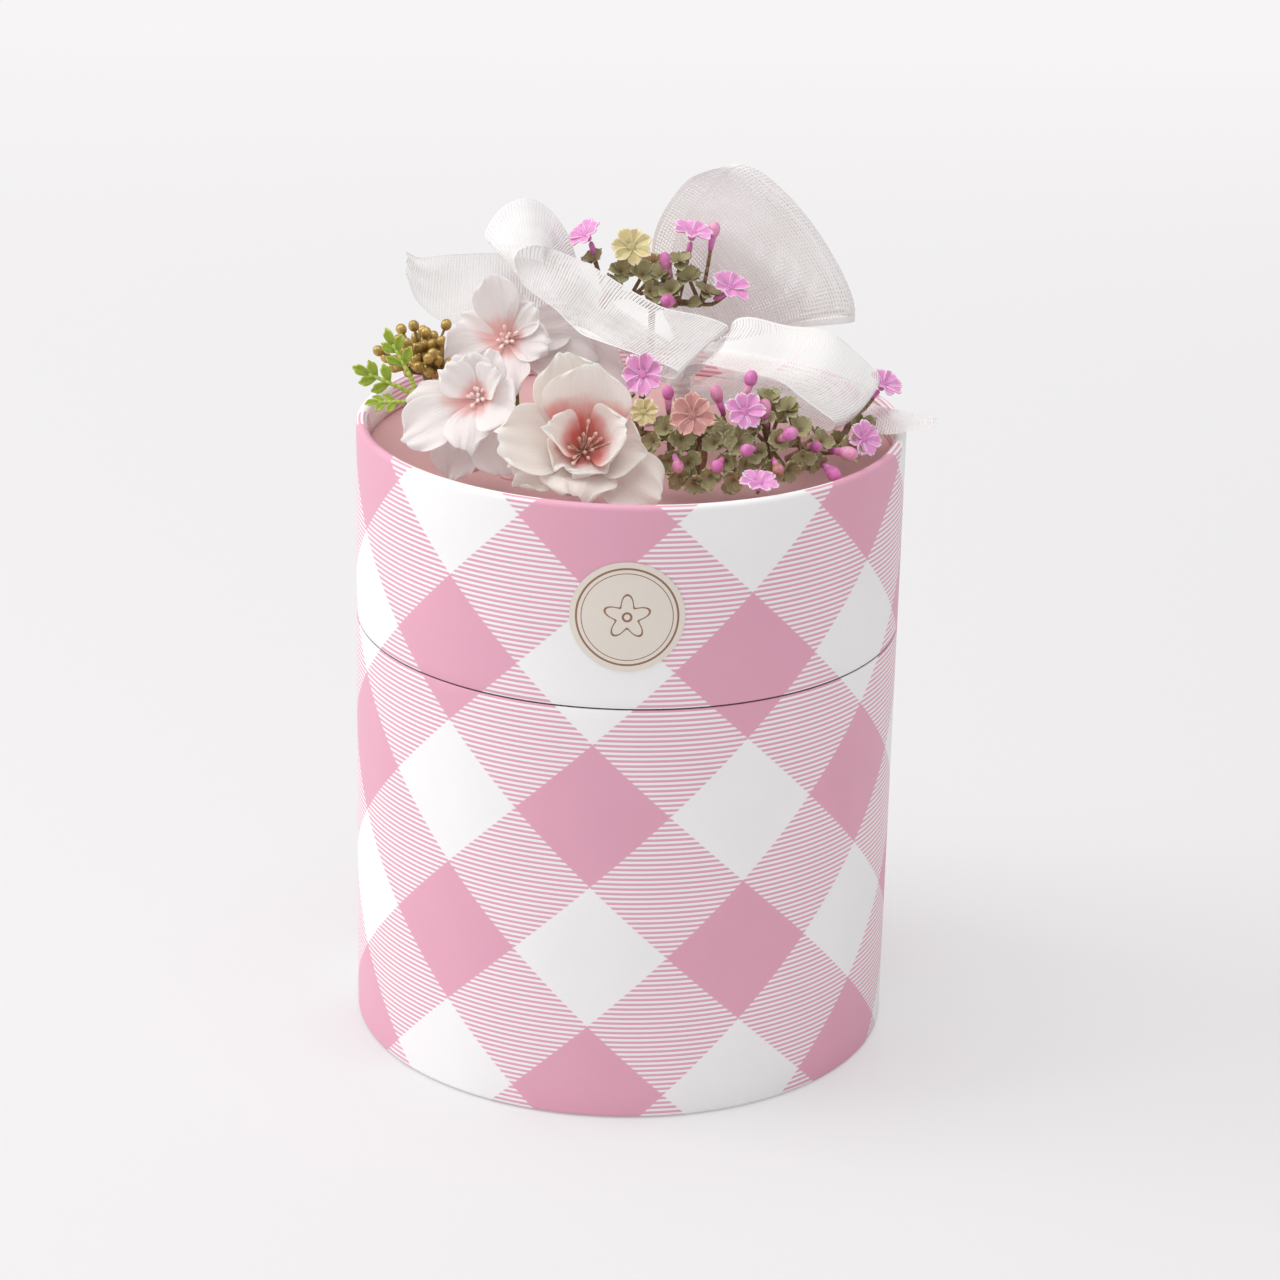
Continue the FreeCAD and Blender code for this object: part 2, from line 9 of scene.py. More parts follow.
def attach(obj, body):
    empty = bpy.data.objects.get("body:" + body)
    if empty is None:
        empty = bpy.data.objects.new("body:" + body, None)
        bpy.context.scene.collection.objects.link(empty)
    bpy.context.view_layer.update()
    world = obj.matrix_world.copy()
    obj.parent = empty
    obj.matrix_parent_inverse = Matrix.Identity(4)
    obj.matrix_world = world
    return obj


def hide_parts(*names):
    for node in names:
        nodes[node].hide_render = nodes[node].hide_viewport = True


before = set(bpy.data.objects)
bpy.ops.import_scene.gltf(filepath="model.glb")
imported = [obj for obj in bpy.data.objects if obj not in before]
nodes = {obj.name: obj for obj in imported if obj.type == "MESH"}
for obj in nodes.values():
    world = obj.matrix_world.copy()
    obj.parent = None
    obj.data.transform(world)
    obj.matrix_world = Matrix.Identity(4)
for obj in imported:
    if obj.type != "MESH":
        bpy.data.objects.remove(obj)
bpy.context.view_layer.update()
scene = bpy.context.scene
mm = 0.001
rimCrest = 0.175          # crest of the lid's rolled rim over the floor
footDrop = -6.2           # where stems end in their glue, against the crest
chance = random.Random(11)


def overRim(x, y, up):
    return Vector((x * mm, y * mm, rimCrest + up * mm))


def seatMatrix(origin, axis, roll=0.0):
    turn = Vector((0, 0, 1)).rotation_difference(Vector(axis))
    spin = Quaternion((0, 0, 1), math.radians(roll))
    return Matrix.Translation(origin) @ (turn @ spin).to_matrix().to_4x4()


# camera of the photograph: where it stands and how it is turned
cameraSpec = {
    "place": (0.0, -1.00935, 0.4928), "pitch": 0.3622, "yaw": 0.0037, "roll": 0.0237,
    "lens": 108.85, "sensor": 36.0,
}


def makeCamera(spec):
    data = bpy.data.cameras.new("photoCamera")
    data.sensor_width = spec["sensor"]
    data.lens = spec["lens"]
    camera = bpy.data.objects.new("photoCamera", data)
    scene.collection.objects.link(camera)
    pitch, yaw = spec["pitch"], spec["yaw"]
    ahead = Vector((math.sin(yaw) * math.cos(pitch), math.cos(yaw) * math.cos(pitch), -math.sin(pitch)))
    right = Vector((math.cos(yaw), -math.sin(yaw), 0))
    above = right.cross(ahead)
    c, s = math.cos(spec["roll"]), math.sin(spec["roll"])
    turn = Matrix((c * right + s * above, c * above - s * right, -ahead)).transposed()
    camera.matrix_world = Matrix.Translation(spec["place"]) @ turn.to_4x4()
    scene.camera = camera


makeCamera(cameraSpec)
print("camera set")


# node helpers

# a value in a node tree; sums and products of such values make its math nodes
class Flow:
    def __init__(self, tree, socket):
        self.tree = tree
        self.socket = socket

    def math(self, operation, *others, clamp=False):
        inputs = dict(enumerate((self, *others)))
        return addNode(self.tree, "Math", inputs, operation=operation, use_clamp=clamp)[0]

    def __add__(self, other):
        return self.math("ADD", other)

    def __sub__(self, other):
        return self.math("SUBTRACT", other)

    def __mul__(self, other):
        return self.math("MULTIPLY", other)

    def __truediv__(self, other):
        return self.math("DIVIDE", other)


def plug(socket, value):
    if isinstance(value, Flow):
        value.tree.links.new(value.socket, socket)
    else:
        socket.default_value = value


def addNode(tree, kind, inputs, **settings):
    node = tree.nodes.new("ShaderNode" + kind)
    for label, value in settings.items():
        setattr(node, label, value)
    for label, value in inputs.items():
        plug(node.inputs[label], value)
    return [Flow(tree, socket) for socket in node.outputs]


# screen colour, 0 to 255, as a linear one
def rgb(*screen):
    shares = [value / 255 for value in screen]
    return (*(v / 12.92 if v <= 0.04045 else ((v + 0.055) / 1.055) ** 2.4 for v in shares), 1.0)


def blendColors(tree, factor, first, second, kind="MIX"):
    return addNode(tree, "Mix", {0: factor, 6: first, 7: second}, data_type="RGBA", blend_type=kind)[2]


def ramp(factor, stops):
    node = factor.tree.nodes.new("ShaderNodeValToRGB")
    plug(node.inputs[0], factor)
    elements = node.color_ramp.elements
    while len(elements) < len(stops):
        elements.new(0.5)
    for element, (place, color) in zip(elements, stops):
        element.position = place
        element.color = color
    return Flow(factor.tree, node.outputs[0])


def noise(place, scale, detail=2.0, roughness=0.5):
    inputs = {"Vector": place, "Scale": scale, "Detail": detail, "Roughness": roughness}
    return addNode(place.tree, "TexNoise", inputs)[0]


def stretched(place, scale):
    return addNode(place.tree, "Mapping", {"Vector": place, "Scale": scale})[0]


def parts(vector):
    return addNode(vector.tree, "SeparateXYZ", {0: vector})


def placeBy(tree, kind):
    return Flow(tree, tree.nodes.new("ShaderNodeTexCoord").outputs[kind])


# group whose outputs are what a function makes of its inputs
def newGroup(name, make, spec, *inputs):
    tree = bpy.data.node_groups.new(name, "ShaderNodeTree")
    for label in inputs:
        kind = "NodeSocketVector" if label == "Place" else "NodeSocketFloat"
        tree.interface.new_socket(name=label, in_out="INPUT", socket_type=kind)
    given = tree.nodes.new("NodeGroupInput").outputs
    made = make(spec, *(Flow(tree, given[label]) for label in inputs))
    for label in made:
        tree.interface.new_socket(name=label, in_out="OUTPUT", socket_type="NodeSocketFloat")
    out = tree.nodes.new("NodeGroupOutput").inputs
    for label, value in made.items():
        plug(out[label], value)
    return tree


def useGroup(tree, group, **inputs):
    return {flow.socket.name: flow for flow in addNode(tree, "Group", inputs, node_tree=group)}


skins = {}                # every material by its name


def newMaterial(name, **sockets):
    skins[name] = bpy.data.materials.new(name)
    skins[name].use_nodes = True
    tree = skins[name].node_tree
    shader = tree.nodes["Principled BSDF"]
    for label, value in sockets.items():
        shader.inputs[label.replace("_", " ")].default_value = value
    return tree, shader


def mixShaders(tree, factor, shader, other):
    mixed = addNode(tree, "MixShader", {0: factor, 1: Flow(tree, shader.outputs[0]), 2: other})[0]
    plug(tree.nodes["Material Output"].inputs["Surface"], mixed)


def setBump(shader, height, strength, distance):
    inputs = {"Strength": strength, "Distance": distance, "Height": height}
    plug(shader.inputs["Normal"], addNode(height.tree, "Bump", inputs)[0])


# fibre grain shared by every paper and board
grainSpec = {"fine": (6.0, 0.65), "coarseScale": 0.03, "coarse": 3.0, "range": 0.07, "dark": 0.93}


def makeFibreGrain(spec, place, scale):
    fine = noise(place, scale, *spec["fine"])
    cloud = noise(place, scale * spec["coarseScale"], spec["coarse"])
    return {"Tint": fine * spec["range"] + cloud * spec["range"] + spec["dark"], "Height": fine}


# two-way printed check: solid, bare and ruled diamonds
printSpec = {
    "columnAngle": 0.5578, "columnShift": 0.1106, "rowHeight": 40.863, "rowMiddle": 88.55,
    "ruling": 1.41, "crisp": 22.0, "ruleCrisp": 3.0, "pathSpan": 250.0,
    "ink": rgb(232, 170, 192), "bare": rgb(250, 249, 249),
}


def makeHarlequin(spec, place):
    across, along = parts(place)[:2]
    column = ((across - 0.5) * (2 * math.pi) + spec["columnShift"]) / spec["columnAngle"]
    height = along * spec["pathSpan"]
    row = (height - spec["rowMiddle"]) / spec["rowHeight"]

    def crisp(wave, sharp):
        return wave.math("MULTIPLY_ADD", -sharp, 0.5, clamp=True)

    rising, falling = (
        crisp((slant * math.pi).math("COSINE"), spec["crisp"]) for slant in (column + row, column - row))
    ruled = crisp((height * (2 * math.pi / spec["ruling"])).math("SINE"), spec["ruleCrisp"])
    low, high = rising.math("MINIMUM", falling), rising.math("MAXIMUM", falling)
    return {"Bare": low + (high - low) * ruled}


# grain of a petal or leaf: fine ribs that fan out from its root
ribSpec = {
    "wanderScale": 3.0, "wander": 0.16, "round": 0.5, "cloud": 5.0, "crease": (7.0, 1.6, 1.0), "detail": 3.0,
}


def makeRibs(spec, place, count):
    fan = (parts(place)[0] + noise(place, spec["wanderScale"]) * spec["wander"]) * count
    rib = (fan * math.pi).math("SINE").math("ABSOLUTE").math("POWER", spec["round"])
    crease = noise(stretched(place, spec["crease"]), 1.0, spec["detail"])
    return {"Rib": rib, "Cloud": noise(place, spec["cloud"], spec["detail"]), "Crease": crease}


# mottled grain of moulded twigs, buds and florets
mottleSpec = {"fine": (4.0, 0.7), "coarseScale": 0.22}


def makeMottle(spec, place, scale):
    return {"Spot": noise(place, scale, *spec["fine"]), "Cloud": noise(place, scale * spec["coarseScale"])}


# open weave: thick threads across the ribbon, thin ones along it
weaveSpec = {
    "pitch": 0.00082, "span": 0.4, "warps": 46.0, "warpShare": 0.16, "warpHeight": 0.3, "selvedge": 0.022,
    # stretch, detail and weight of the noise in the pitch, the openness and single threads
    "wobble": ((3.0, 26.0, 1.0), 2.0, 0.0018), "drift": ((1.3, 14.0, 1.0), 2.0, 0.95),
    "single": ((2.0, 420.0, 1.0), 1.0, 0.34), "close": 0.4, "least": 0.08,
}


def makeWeave(spec, place):
    across, along = parts(place)[:2]

    def uneven(stretch, detail, weight):
        return noise(stretched(place, stretch), 1.0, detail) * weight

    weft = ((along + uneven(*spec["wobble"])) / (spec["pitch"] / spec["span"])).math("PINGPONG", 0.5)
    limit = uneven(*spec["drift"]) + uneven(*spec["single"]) - spec["close"]
    thin = (across * spec["warps"]).math("PINGPONG", 0.5).math("LESS_THAN", spec["warpShare"])
    edge = across.math("PINGPONG", 0.5).math("LESS_THAN", spec["selvedge"])
    cover = weft.math("GREATER_THAN", limit).math("MAXIMUM", thin).math("MAXIMUM", edge)
    return {"Cover": cover * (1 - spec["least"]) + spec["least"], "Height": weft + thin * spec["warpHeight"]}


fibreGrain = newGroup("fibreGrain", makeFibreGrain, grainSpec, "Place", "Scale")
harlequin = newGroup("harlequin", makeHarlequin, printSpec, "Place")
petalRibs = newGroup("petalRibs", makeRibs, ribSpec, "Place", "Count")
mottle = newGroup("mottle", makeMottle, mottleSpec, "Place", "Scale")
openWeave = newGroup("openWeave", makeWeave, weaveSpec, "Place")


# materials

# paper colour shaded and roughened by its fibre grain
def setPaper(tree, shader, color, scale, strength, distance=0.0002):
    grain = useGroup(tree, fibreGrain, Place=placeBy(tree, "Object"), Scale=scale)
    plug(shader.inputs["Base Color"], blendColors(tree, 1.0, color, grain["Tint"], "MULTIPLY"))
    setBump(shader, grain["Height"], strength, distance)


def makeGinghamPaper(spec):
    tree, shader = newMaterial("ginghamPaper", Roughness=0.46, Specular_IOR_Level=0.35)
    bare = useGroup(tree, harlequin, Place=placeBy(tree, "UV"))["Bare"]
    setPaper(tree, shader, blendColors(tree, bare, spec["ink"], spec["bare"]), 1800.0, 0.12)


def makePaper(name, color, scale=1500.0, strength=0.2, **sockets):
    tree, shader = newMaterial(name, **{"Roughness": 0.6, "Specular_IOR_Level": 0.3, **sockets})
    setPaper(tree, shader, color, scale, strength)


# flower and rings: radius and half width of the line
labelSpec = {
    "height": 0.145, "flower": (4.6, 0.3), "flowerPetals": 5.0, "flowerWave": 1.5,
    "rings": [(13.2, 0.28), (11.9, 0.12), (1.1, 0.3)], "stock": rgb(234, 225, 214), "ink": rgb(150, 112, 88),
}


# cream disc with printed rings and a plain rosette
def makeLabelPaper(spec):
    tree, shader = newMaterial("labelPaper", Roughness=0.4)
    x, y, z = parts(placeBy(tree, "Object"))
    across, upward = x * (1 / mm), (z - spec["height"]) * (1 / mm)
    reach = (across.math("POWER", 2.0) + upward.math("POWER", 2.0)).math("SQRT")
    turn = across.math("ARCTAN2", upward) * spec["flowerPetals"]

    def stroke(distance, radius, width):
        return (distance - radius).math("ABSOLUTE").math("LESS_THAN", width)

    ink = stroke(reach - turn.math("COSINE") * spec["flowerWave"], *spec["flower"])
    for ring in spec["rings"]:
        ink = ink.math("MAXIMUM", stroke(reach, *ring))
    setPaper(tree, shader, blendColors(tree, ink, spec["stock"], spec["ink"]), 2200.0, 0.1, 0.0001)


# petal cloth: throat colour at the root, pale middle, creamy rim, and how far the throat colour reaches
clothColors = {
    "blushPetal": ((254, 222, 218), (255, 252, 251), (255, 254, 254), 0.38),
    "creamPetal": ((252, 220, 208), (255, 251, 246), (255, 254, 250), 0.4),
    "coralPetal": ((244, 152, 142), (255, 251, 247), (255, 254, 250), 0.62),
    "palePetal": ((254, 216, 212), (255, 252, 251), (255, 254, 254), 0.38),
}
clothLook = {
    "ribs": 17.0, "cloud": 0.28, "deep": 0.45, "rimStart": 0.93, "vein": 0.12, "veinFade": 0.8,
    "ribHeight": 0.06, "bump": (0.4, 0.0018), "glow": 0.42,
}


def makePetalCloth(name, throat, middle, rim, reach):
    look = clothLook
    throat, middle, rim = rgb(*throat), rgb(*middle), rgb(*rim)
    tree, shader = newMaterial(name, Roughness=0.62, Specular_IOR_Level=0.25, Sheen_Weight=0.5)
    place = placeBy(tree, "UV")
    along = parts(place)[1]
    ribs = useGroup(tree, petalRibs, Place=place, Count=look["ribs"])
    stops = [(0.0, throat), (reach * look["deep"], throat), (reach, middle)]
    stops += [(look["rimStart"], middle), (1.0, rim)]
    shade = ramp(along + (ribs["Cloud"] - 0.5) * look["cloud"], stops)
    near = along * -look["veinFade"] + 1.0
    color = blendColors(tree, (ribs["Rib"] * -1.0 + 1.0) * look["vein"] * near, shade, throat)
    plug(shader.inputs["Base Color"], color)
    setBump(shader, ribs["Rib"] * look["ribHeight"] + ribs["Crease"], *look["bump"])
    # thin cloth lets light through from behind
    mixShaders(tree, look["glow"], shader, addNode(tree, "BsdfTranslucent", {"Color": color})[0])


# mottled skins: dark and light colour, grain, roughness, metallic
mottledColors = {
    "stamenThread": ((206, 160, 142), (244, 218, 202), 700.0, 0.7),
    "paleThread": ((252, 214, 208), (255, 238, 233), 700.0, 0.7),
    "greenStem": ((110, 112, 62), (160, 156, 98), 400.0, 0.6),
    "twigSkin": ((112, 88, 62), (168, 138, 104), 500.0, 0.6),
    "budSkin": ((204, 86, 162), (232, 152, 206), 600.0, 0.5),
    "paleBud": ((216, 116, 160), (244, 182, 214), 600.0, 0.5),
    "dustyBud": ((150, 96, 84), (208, 148, 132), 600.0, 0.55),
    "beadGold": ((146, 116, 56), (212, 180, 104), 500.0, 0.3, 0.4),
    "wireSkin": ((118, 100, 54), (160, 140, 80), 500.0, 0.6),
    "glueMelt": ((214, 164, 168), (230, 190, 192), 200.0, 0.35),
}
mottledLook = {"spot": 0.6, "cloud": 0.5, "dark": 0.38, "light": 0.72, "bump": (0.3, 0.0003)}


def makeMottled(name, dark, light, scale, roughness, metallic=0.0):
    look = mottledLook
    tree, shader = newMaterial(name, Roughness=roughness, Metallic=metallic)
    grain = useGroup(tree, mottle, Place=placeBy(tree, "Object"), Scale=scale)
    mixed = grain["Spot"] * look["spot"] + grain["Cloud"] * look["cloud"]
    stops = [(look["dark"], rgb(*dark)), (look["light"], rgb(*light))]
    plug(shader.inputs["Base Color"], ramp(mixed, stops))
    setBump(shader, grain["Spot"], *look["bump"])


# moulded florets and leaves with a grainy skin: deep root, body, pale rim, ribs
mouldedColors = {
    "limeLeaf": ((96, 122, 26), (146, 172, 50), (190, 206, 92), 5.0),
    "oliveLeaf": ((138, 116, 92), (170, 164, 120), (216, 208, 170), 5.0),
    "pinkFloret": ((208, 104, 172), (234, 156, 210), (252, 224, 242), 3.0),
    "dustyFloret": ((158, 96, 96), (200, 142, 136), (236, 190, 176), 3.0),
    "creamFloret": ((160, 140, 84), (216, 200, 146), (244, 232, 200), 3.0),
}
mouldedLook = {"grain": 1400.0, "edge": 3.0, "spot": 0.7, "body": (0.4, 0.75), "bump": (0.3, 0.0003)}


def makeMoulded(name, root, body, rim, ribCount):
    look = mouldedLook
    tree, shader = newMaterial(name, Roughness=0.55, Subsurface_Weight=0.15, Subsurface_Scale=0.002)
    place = placeBy(tree, "UV")
    across, along = parts(place)[:2]
    spot = useGroup(tree, mottle, Place=placeBy(tree, "Object"), Scale=look["grain"])["Spot"]
    ribs = useGroup(tree, petalRibs, Place=place, Count=ribCount)
    side = (across - 0.5).math("ABSOLUTE") * 2.0
    outward = along.math("MAXIMUM", side.math("POWER", look["edge"]))
    stops = [(0.0, rgb(*root)), *((share, rgb(*body)) for share in look["body"]), (1.0, rgb(*rim))]
    plug(shader.inputs["Base Color"], ramp(outward + (spot - 0.5) * look["spot"], stops))
    setBump(shader, ribs["Rib"] + spot, *look["bump"])


def makeRibbonGauze():
    tree, shader = newMaterial(
        "ribbonGauze", Base_Color=rgb(242, 239, 238), Roughness=0.7, Sheen_Weight=0.3, Specular_IOR_Level=0.2)
    weave = useGroup(tree, openWeave, Place=placeBy(tree, "UV"))
    plug(shader.inputs["Alpha"], weave["Cover"])
    setBump(shader, weave["Height"], 0.4, 0.0002)


makeGinghamPaper(printSpec)
makePaper("greyBoard", rgb(176, 163, 148), 900.0, Roughness=0.8)
makePaper("whiteBoard", rgb(240, 237, 233))
makePaper("facingPaper", rgb(214, 168, 168))
makePaper("ribbonCord", rgb(246, 243, 241), 1600.0, 0.4,
          Roughness=0.7, Specular_IOR_Level=0.5, Sheen_Weight=0.3)
makeLabelPaper(labelSpec)
makeRibbonGauze()
for make, rows in (
        (makePetalCloth, clothColors), (makeMottled, mottledColors), (makeMoulded, mouldedColors)):
    for name, row in rows.items():
        make(name, *row)
print("materials made")


# piece helpers

def finishPiece(name, bm, looks, replaced, body="lid"):
    mesh = bpy.data.meshes.new(name)
    bm.to_mesh(mesh)
    bm.free()
    for polygon in mesh.polygons:
        polygon.use_smooth = True
    piece = bpy.data.objects.new(name, mesh)
    scene.collection.objects.link(piece)
    for look in looks:
        mesh.materials.append(skins[look])
    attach(piece, body)
    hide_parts(*replaced)
    return piece


def thicken(piece, thickness, offset=0.0):
    modifier = piece.modifiers.new("thickness", "SOLIDIFY")
    modifier.thickness = thickness * mm
    modifier.offset = offset


def soften(piece):
    modifier = piece.modifiers.new("soft", "SUBSURF")
    modifier.levels = 1
    modifier.render_levels = 1


def newSheet():
    bm = bmesh.new()
    return bm, bm.loops.layers.uv.new("flat")


# grid whose points are sent through a shape function; its flat place stays as UV
def shapedGrid(bm, uvLayer, across, along, shape):
    made = bmesh.ops.create_grid(bm, x_segments=across, y_segments=along, size=1.0)["verts"]
    flat = {v: (v.co.x, (v.co.y + 1) / 2) for v in made}
    for v, (t, s) in flat.items():
        v.co = shape(t, s)
    for face in {f for v in made for f in v.link_faces}:
        for loop in face.loops:
            t, s = flat[loop.vert]
            loop[uvLayer].uv = ((t + 1) / 2, s)


# profile of open edges, turned once round an upright axis
def spinProfile(bm, profile, centre, steps):
    points = [bm.verts.new(point) for point in profile]
    edges = [bm.edges.new(pair) for pair in zip(points, points[1:])]
    bmesh.ops.spin(
        bm, geom=points + edges, cent=centre, axis=(0, 0, 1), angle=2 * math.pi, steps=steps, use_merge=True)


# tapered rod between two points
def addTaper(bm, start, end, first, second, sides):
    run = end - start
    turn = Vector((0, 0, 1)).rotation_difference(run).to_matrix().to_4x4()
    bmesh.ops.create_cone(
        bm, cap_ends=True, segments=sides, radius1=first, radius2=second, depth=run.length,
        matrix=Matrix.Translation((start + end) / 2) @ turn)


def addDrop(bm, place, axis, radius, stretch, segments):
    bmesh.ops.create_uvsphere(
        bm, u_segments=segments, v_segments=segments * 2 // 3, radius=radius,
        matrix=seatMatrix(place, axis) @ Matrix.Diagonal((1, 1, stretch, 1)))


# smooth curve through a few points
def smoothPath(points, steps):
    padded = [points[0] * 2 - points[1]] + list(points) + [points[-1] * 2 - points[-2]]
    path = []
    for a, b, c, d in zip(padded, padded[1:], padded[2:], padded[3:]):
        for k in range(steps):
            u = k / steps
            path.append(0.5 * (b * 2 + (c - a) * u + (a * 2 - b * 5 + c * 4 - d) * u * u
                               + (b * 3 - a - c * 3 + d) * u ** 3))
    return path + [points[-1]]


jointShare = 0.99         # ball in a stem's joint, over its radius there


def addStem(bm, points, first, second, steps=5, sides=9):
    path = smoothPath(points, steps)
    last = len(path) - 1
    radii = [(first + (second - first) * k / last) * mm for k in range(last + 1)]
    for a, b, near, far in zip(path, path[1:], radii, radii[1:]):
        addTaper(bm, a, b, near, far, sides)
        bmesh.ops.create_icosphere(bm, subdivisions=1, radius=far * jointShare, matrix=Matrix.Translation(b))


def setLookFrom(bm, first, index):
    bm.faces.ensure_lookup_table()
    for face in bm.faces[first:]:
        face.material_index = index


# paper wraps

wrapSpec = {
    "radius": 75.0, "inside": 72.0, "paper": 0.3, "seam": 119.0, "gap": 0.4, "seat": 166.6, "steps": 160,
    "foot": [(0.8, 0.35), (0.32, 0.5), (0.08, 0.8), (0.0, 1.3)],     # inset and height where it turns in
    "edge": [(0.0, 3.0), (0.0, 0.35), (0.12, 0.05), (0.3, 0.0)],     # inset and distance from the seam
    "baseRings": (8, 30, 60, 90), "lidRings": (20, 40), "seatRing": 3, "rollSteps": 10,
}
boardLooks = {
    "base_tube": "greyBoard", "base_disc": "greyBoard", "lid_tube": "greyBoard", "lid_disc": "greyBoard",
    "neck_tube": "whiteBoard", "lid_disc_facing": "facingPaper", "label_sticker": "labelPaper",
}


def spunWrap(name, profile, pathOf, body):
    bm, uvLayer = newSheet()
    spinProfile(bm, [(r * mm, 0, z * mm) for r, z in profile], (0, 0, 0), wrapSpec["steps"])
    bm.faces.ensure_lookup_table()
    outer = max(bm.faces, key=lambda face: face.calc_center_median().xy.length)
    bm.normal_update()
    if outer.normal.xy.dot(outer.calc_center_median().xy) < 0:
        bmesh.ops.reverse_faces(bm, faces=bm.faces)
    for face in bm.faces:
        middle = face.calc_center_median()
        facing = math.atan2(middle.x, -middle.y)
        for loop in face.loops:
            x, y, z = loop.vert.co
            angle = math.atan2(x, -y)
            angle += 2 * math.pi * round((facing - angle) / (2 * math.pi))
            path = pathOf(math.hypot(x, y) / mm, z / mm)
            loop[uvLayer].uv = (angle / (2 * math.pi) + 0.5, path / printSpec["pathSpan"])
    piece = finishPiece(name, bm, ["ginghamPaper"], [name.replace("printed_", "")], body)
    thicken(piece, wrapSpec["paper"], -1.0)


def makeWraps(spec):
    r, inside, seam, seat = spec["radius"], spec["inside"], spec["seam"], spec["seat"]
    base = [(r - inset, z) for inset, z in spec["foot"]] + [(r, z) for z in spec["baseRings"]]
    base += [(r - inset, seam - away) for inset, away in spec["edge"]]
    spunWrap("printed_base_wrap", base, lambda radius, z: z, "base")

    roll = (r - inside) / 2
    crown = rimCrest / mm - roll
    low = seam + spec["gap"]
    turns = [math.pi * k / spec["rollSteps"] for k in range(spec["rollSteps"] + 1)]
    lid = [(r - inset, low + away) for inset, away in reversed(spec["edge"])]
    lid += [(r, low + z) for z in spec["lidRings"]]
    lid += [(r - roll + roll * math.cos(a), crown + roll * math.sin(a)) for a in turns]
    lid += [(inside, seat + spec["seatRing"]), (inside, seat)]

    # way over the paper from the floor up, over the crest and down into the recess
    def pathOf(radius, z):
        if z <= crown:
            return z if radius > r - roll else crown + math.pi * roll + (crown - z)
        return crown + roll * math.atan2(z - crown, radius - (r - roll))

    spunWrap("printed_lid_wrap", lid, pathOf, "lid")


makeWraps(wrapSpec)
for name, look in boardLooks.items():
    for holder in nodes[name].material_slots:
        holder.material = skins[look]
print("box and lid dressed")


# petals and leaves

# what a petal or leaf has where its own values don't say
petalDefaults = {
    "turn": 0.0, "notch": 0.05, "groove": 0.0, "rootShare": 0.16, "widest": 0.66, "blunt": 0.5,
    "frill": 0.0, "roll": 0.0, "pleat": 0.0,
}
petalForm = {
    "swell": 1.15, "sway": 4.1, "tipRound": 0.17, "notchWidth": 0.24, "grooveWidth": 0.2, "rollStart": 0.8,
    "pleats": 9.0, "pleatShift": 2.6, "leastCurl": 1e-4,
    "frills": [(0.5, 6.3, 2.0), (0.3, 12.5, 1.0)],     # amount, waves across, part of the phase
    # amount, power along, part left at the middle, waves across, waves along, part of the phase
    "waves": [(1.0, 2.2, 0.35, 5.2, 0.0, 1.0), (0.45, 4.0, 1.0, 11.0, 0.0, 2.3),
              (0.5, 1.0, 1.0, 3.0, 5.0, 1.7)],
}


# t runs across from -1 to 1, s along from root to tip
def petalShape(cut, matrix):
    form = petalForm
    rise, curl = math.radians(cut["rise"]), math.radians(cut["curl"]) or form["leastCurl"]
    widest, blunt, rootShare, phase = cut["widest"], cut["blunt"], cut["rootShare"], cut["phase"]

    def shape(t, s):
        if s < widest:
            share = rootShare + (1 - rootShare) * math.sin(math.pi / 2 * s / widest) ** form["swell"]
        else:
            share = blunt + (1 - blunt) * math.sqrt(max(0.0, 1 - ((s - widest) / (1 - widest)) ** 2))
        half = cut["width"] / 2 * share * (1 + cut["frill"] * s * math.sin(form["sway"] * s + phase))
        reach = s - form["tipRound"] * t * t * s ** 4
        reach -= cut["notch"] * math.exp(-(t / form["notchWidth"]) ** 2) * s ** 6
        for amount, across, shift in form["frills"]:
            reach += cut["frill"] * s ** 5 * amount * math.sin(across * t + shift * phase)
        bend = rise + curl * reach
        out = cut["root"] + cut["length"] * (math.sin(bend) - math.sin(rise)) / curl
        up = cut["length"] * (math.cos(rise) - math.cos(bend)) / curl
        lift = cut["cup"] * half * t * t - cut["groove"] * math.exp(-(t / form["grooveWidth"]) ** 2) * s
        lift += cut["pleat"] * s * math.sin(form["pleats"] * t + form["pleatShift"] * phase)
        lift -= cut["roll"] * (max(s - form["rollStart"], 0.0) / (1 - form["rollStart"])) ** 2
        for amount, power, middle, across, along, shift in form["waves"]:
            edge = middle + (1 - middle) * abs(t)
            wave = math.sin(across * t + along * s + shift * phase)
            lift += cut["ruffle"] * amount * s ** power * edge * wave
        return matrix @ (Vector((out - math.sin(bend) * lift, half * t, up + math.cos(bend) * lift)) * mm)

    return shape


def addPetal(bm, uvLayer, spec, matrix, grid):
    cut = {**petalDefaults, **spec}
    turn = Matrix.Rotation(math.radians(cut["turn"]), 4, "Z")
    shapedGrid(bm, uvLayer, *grid, petalShape(cut, matrix @ turn))


# lays a leaf from its root along a way, upper side towards face
def leafMatrix(root, way, face):
    along = Vector(way).normalized()
    across = Vector(face).cross(along).normalized()
    return Matrix.Translation(root) @ Matrix((along, across, along.cross(across))).transposed().to_4x4()


# blossoms

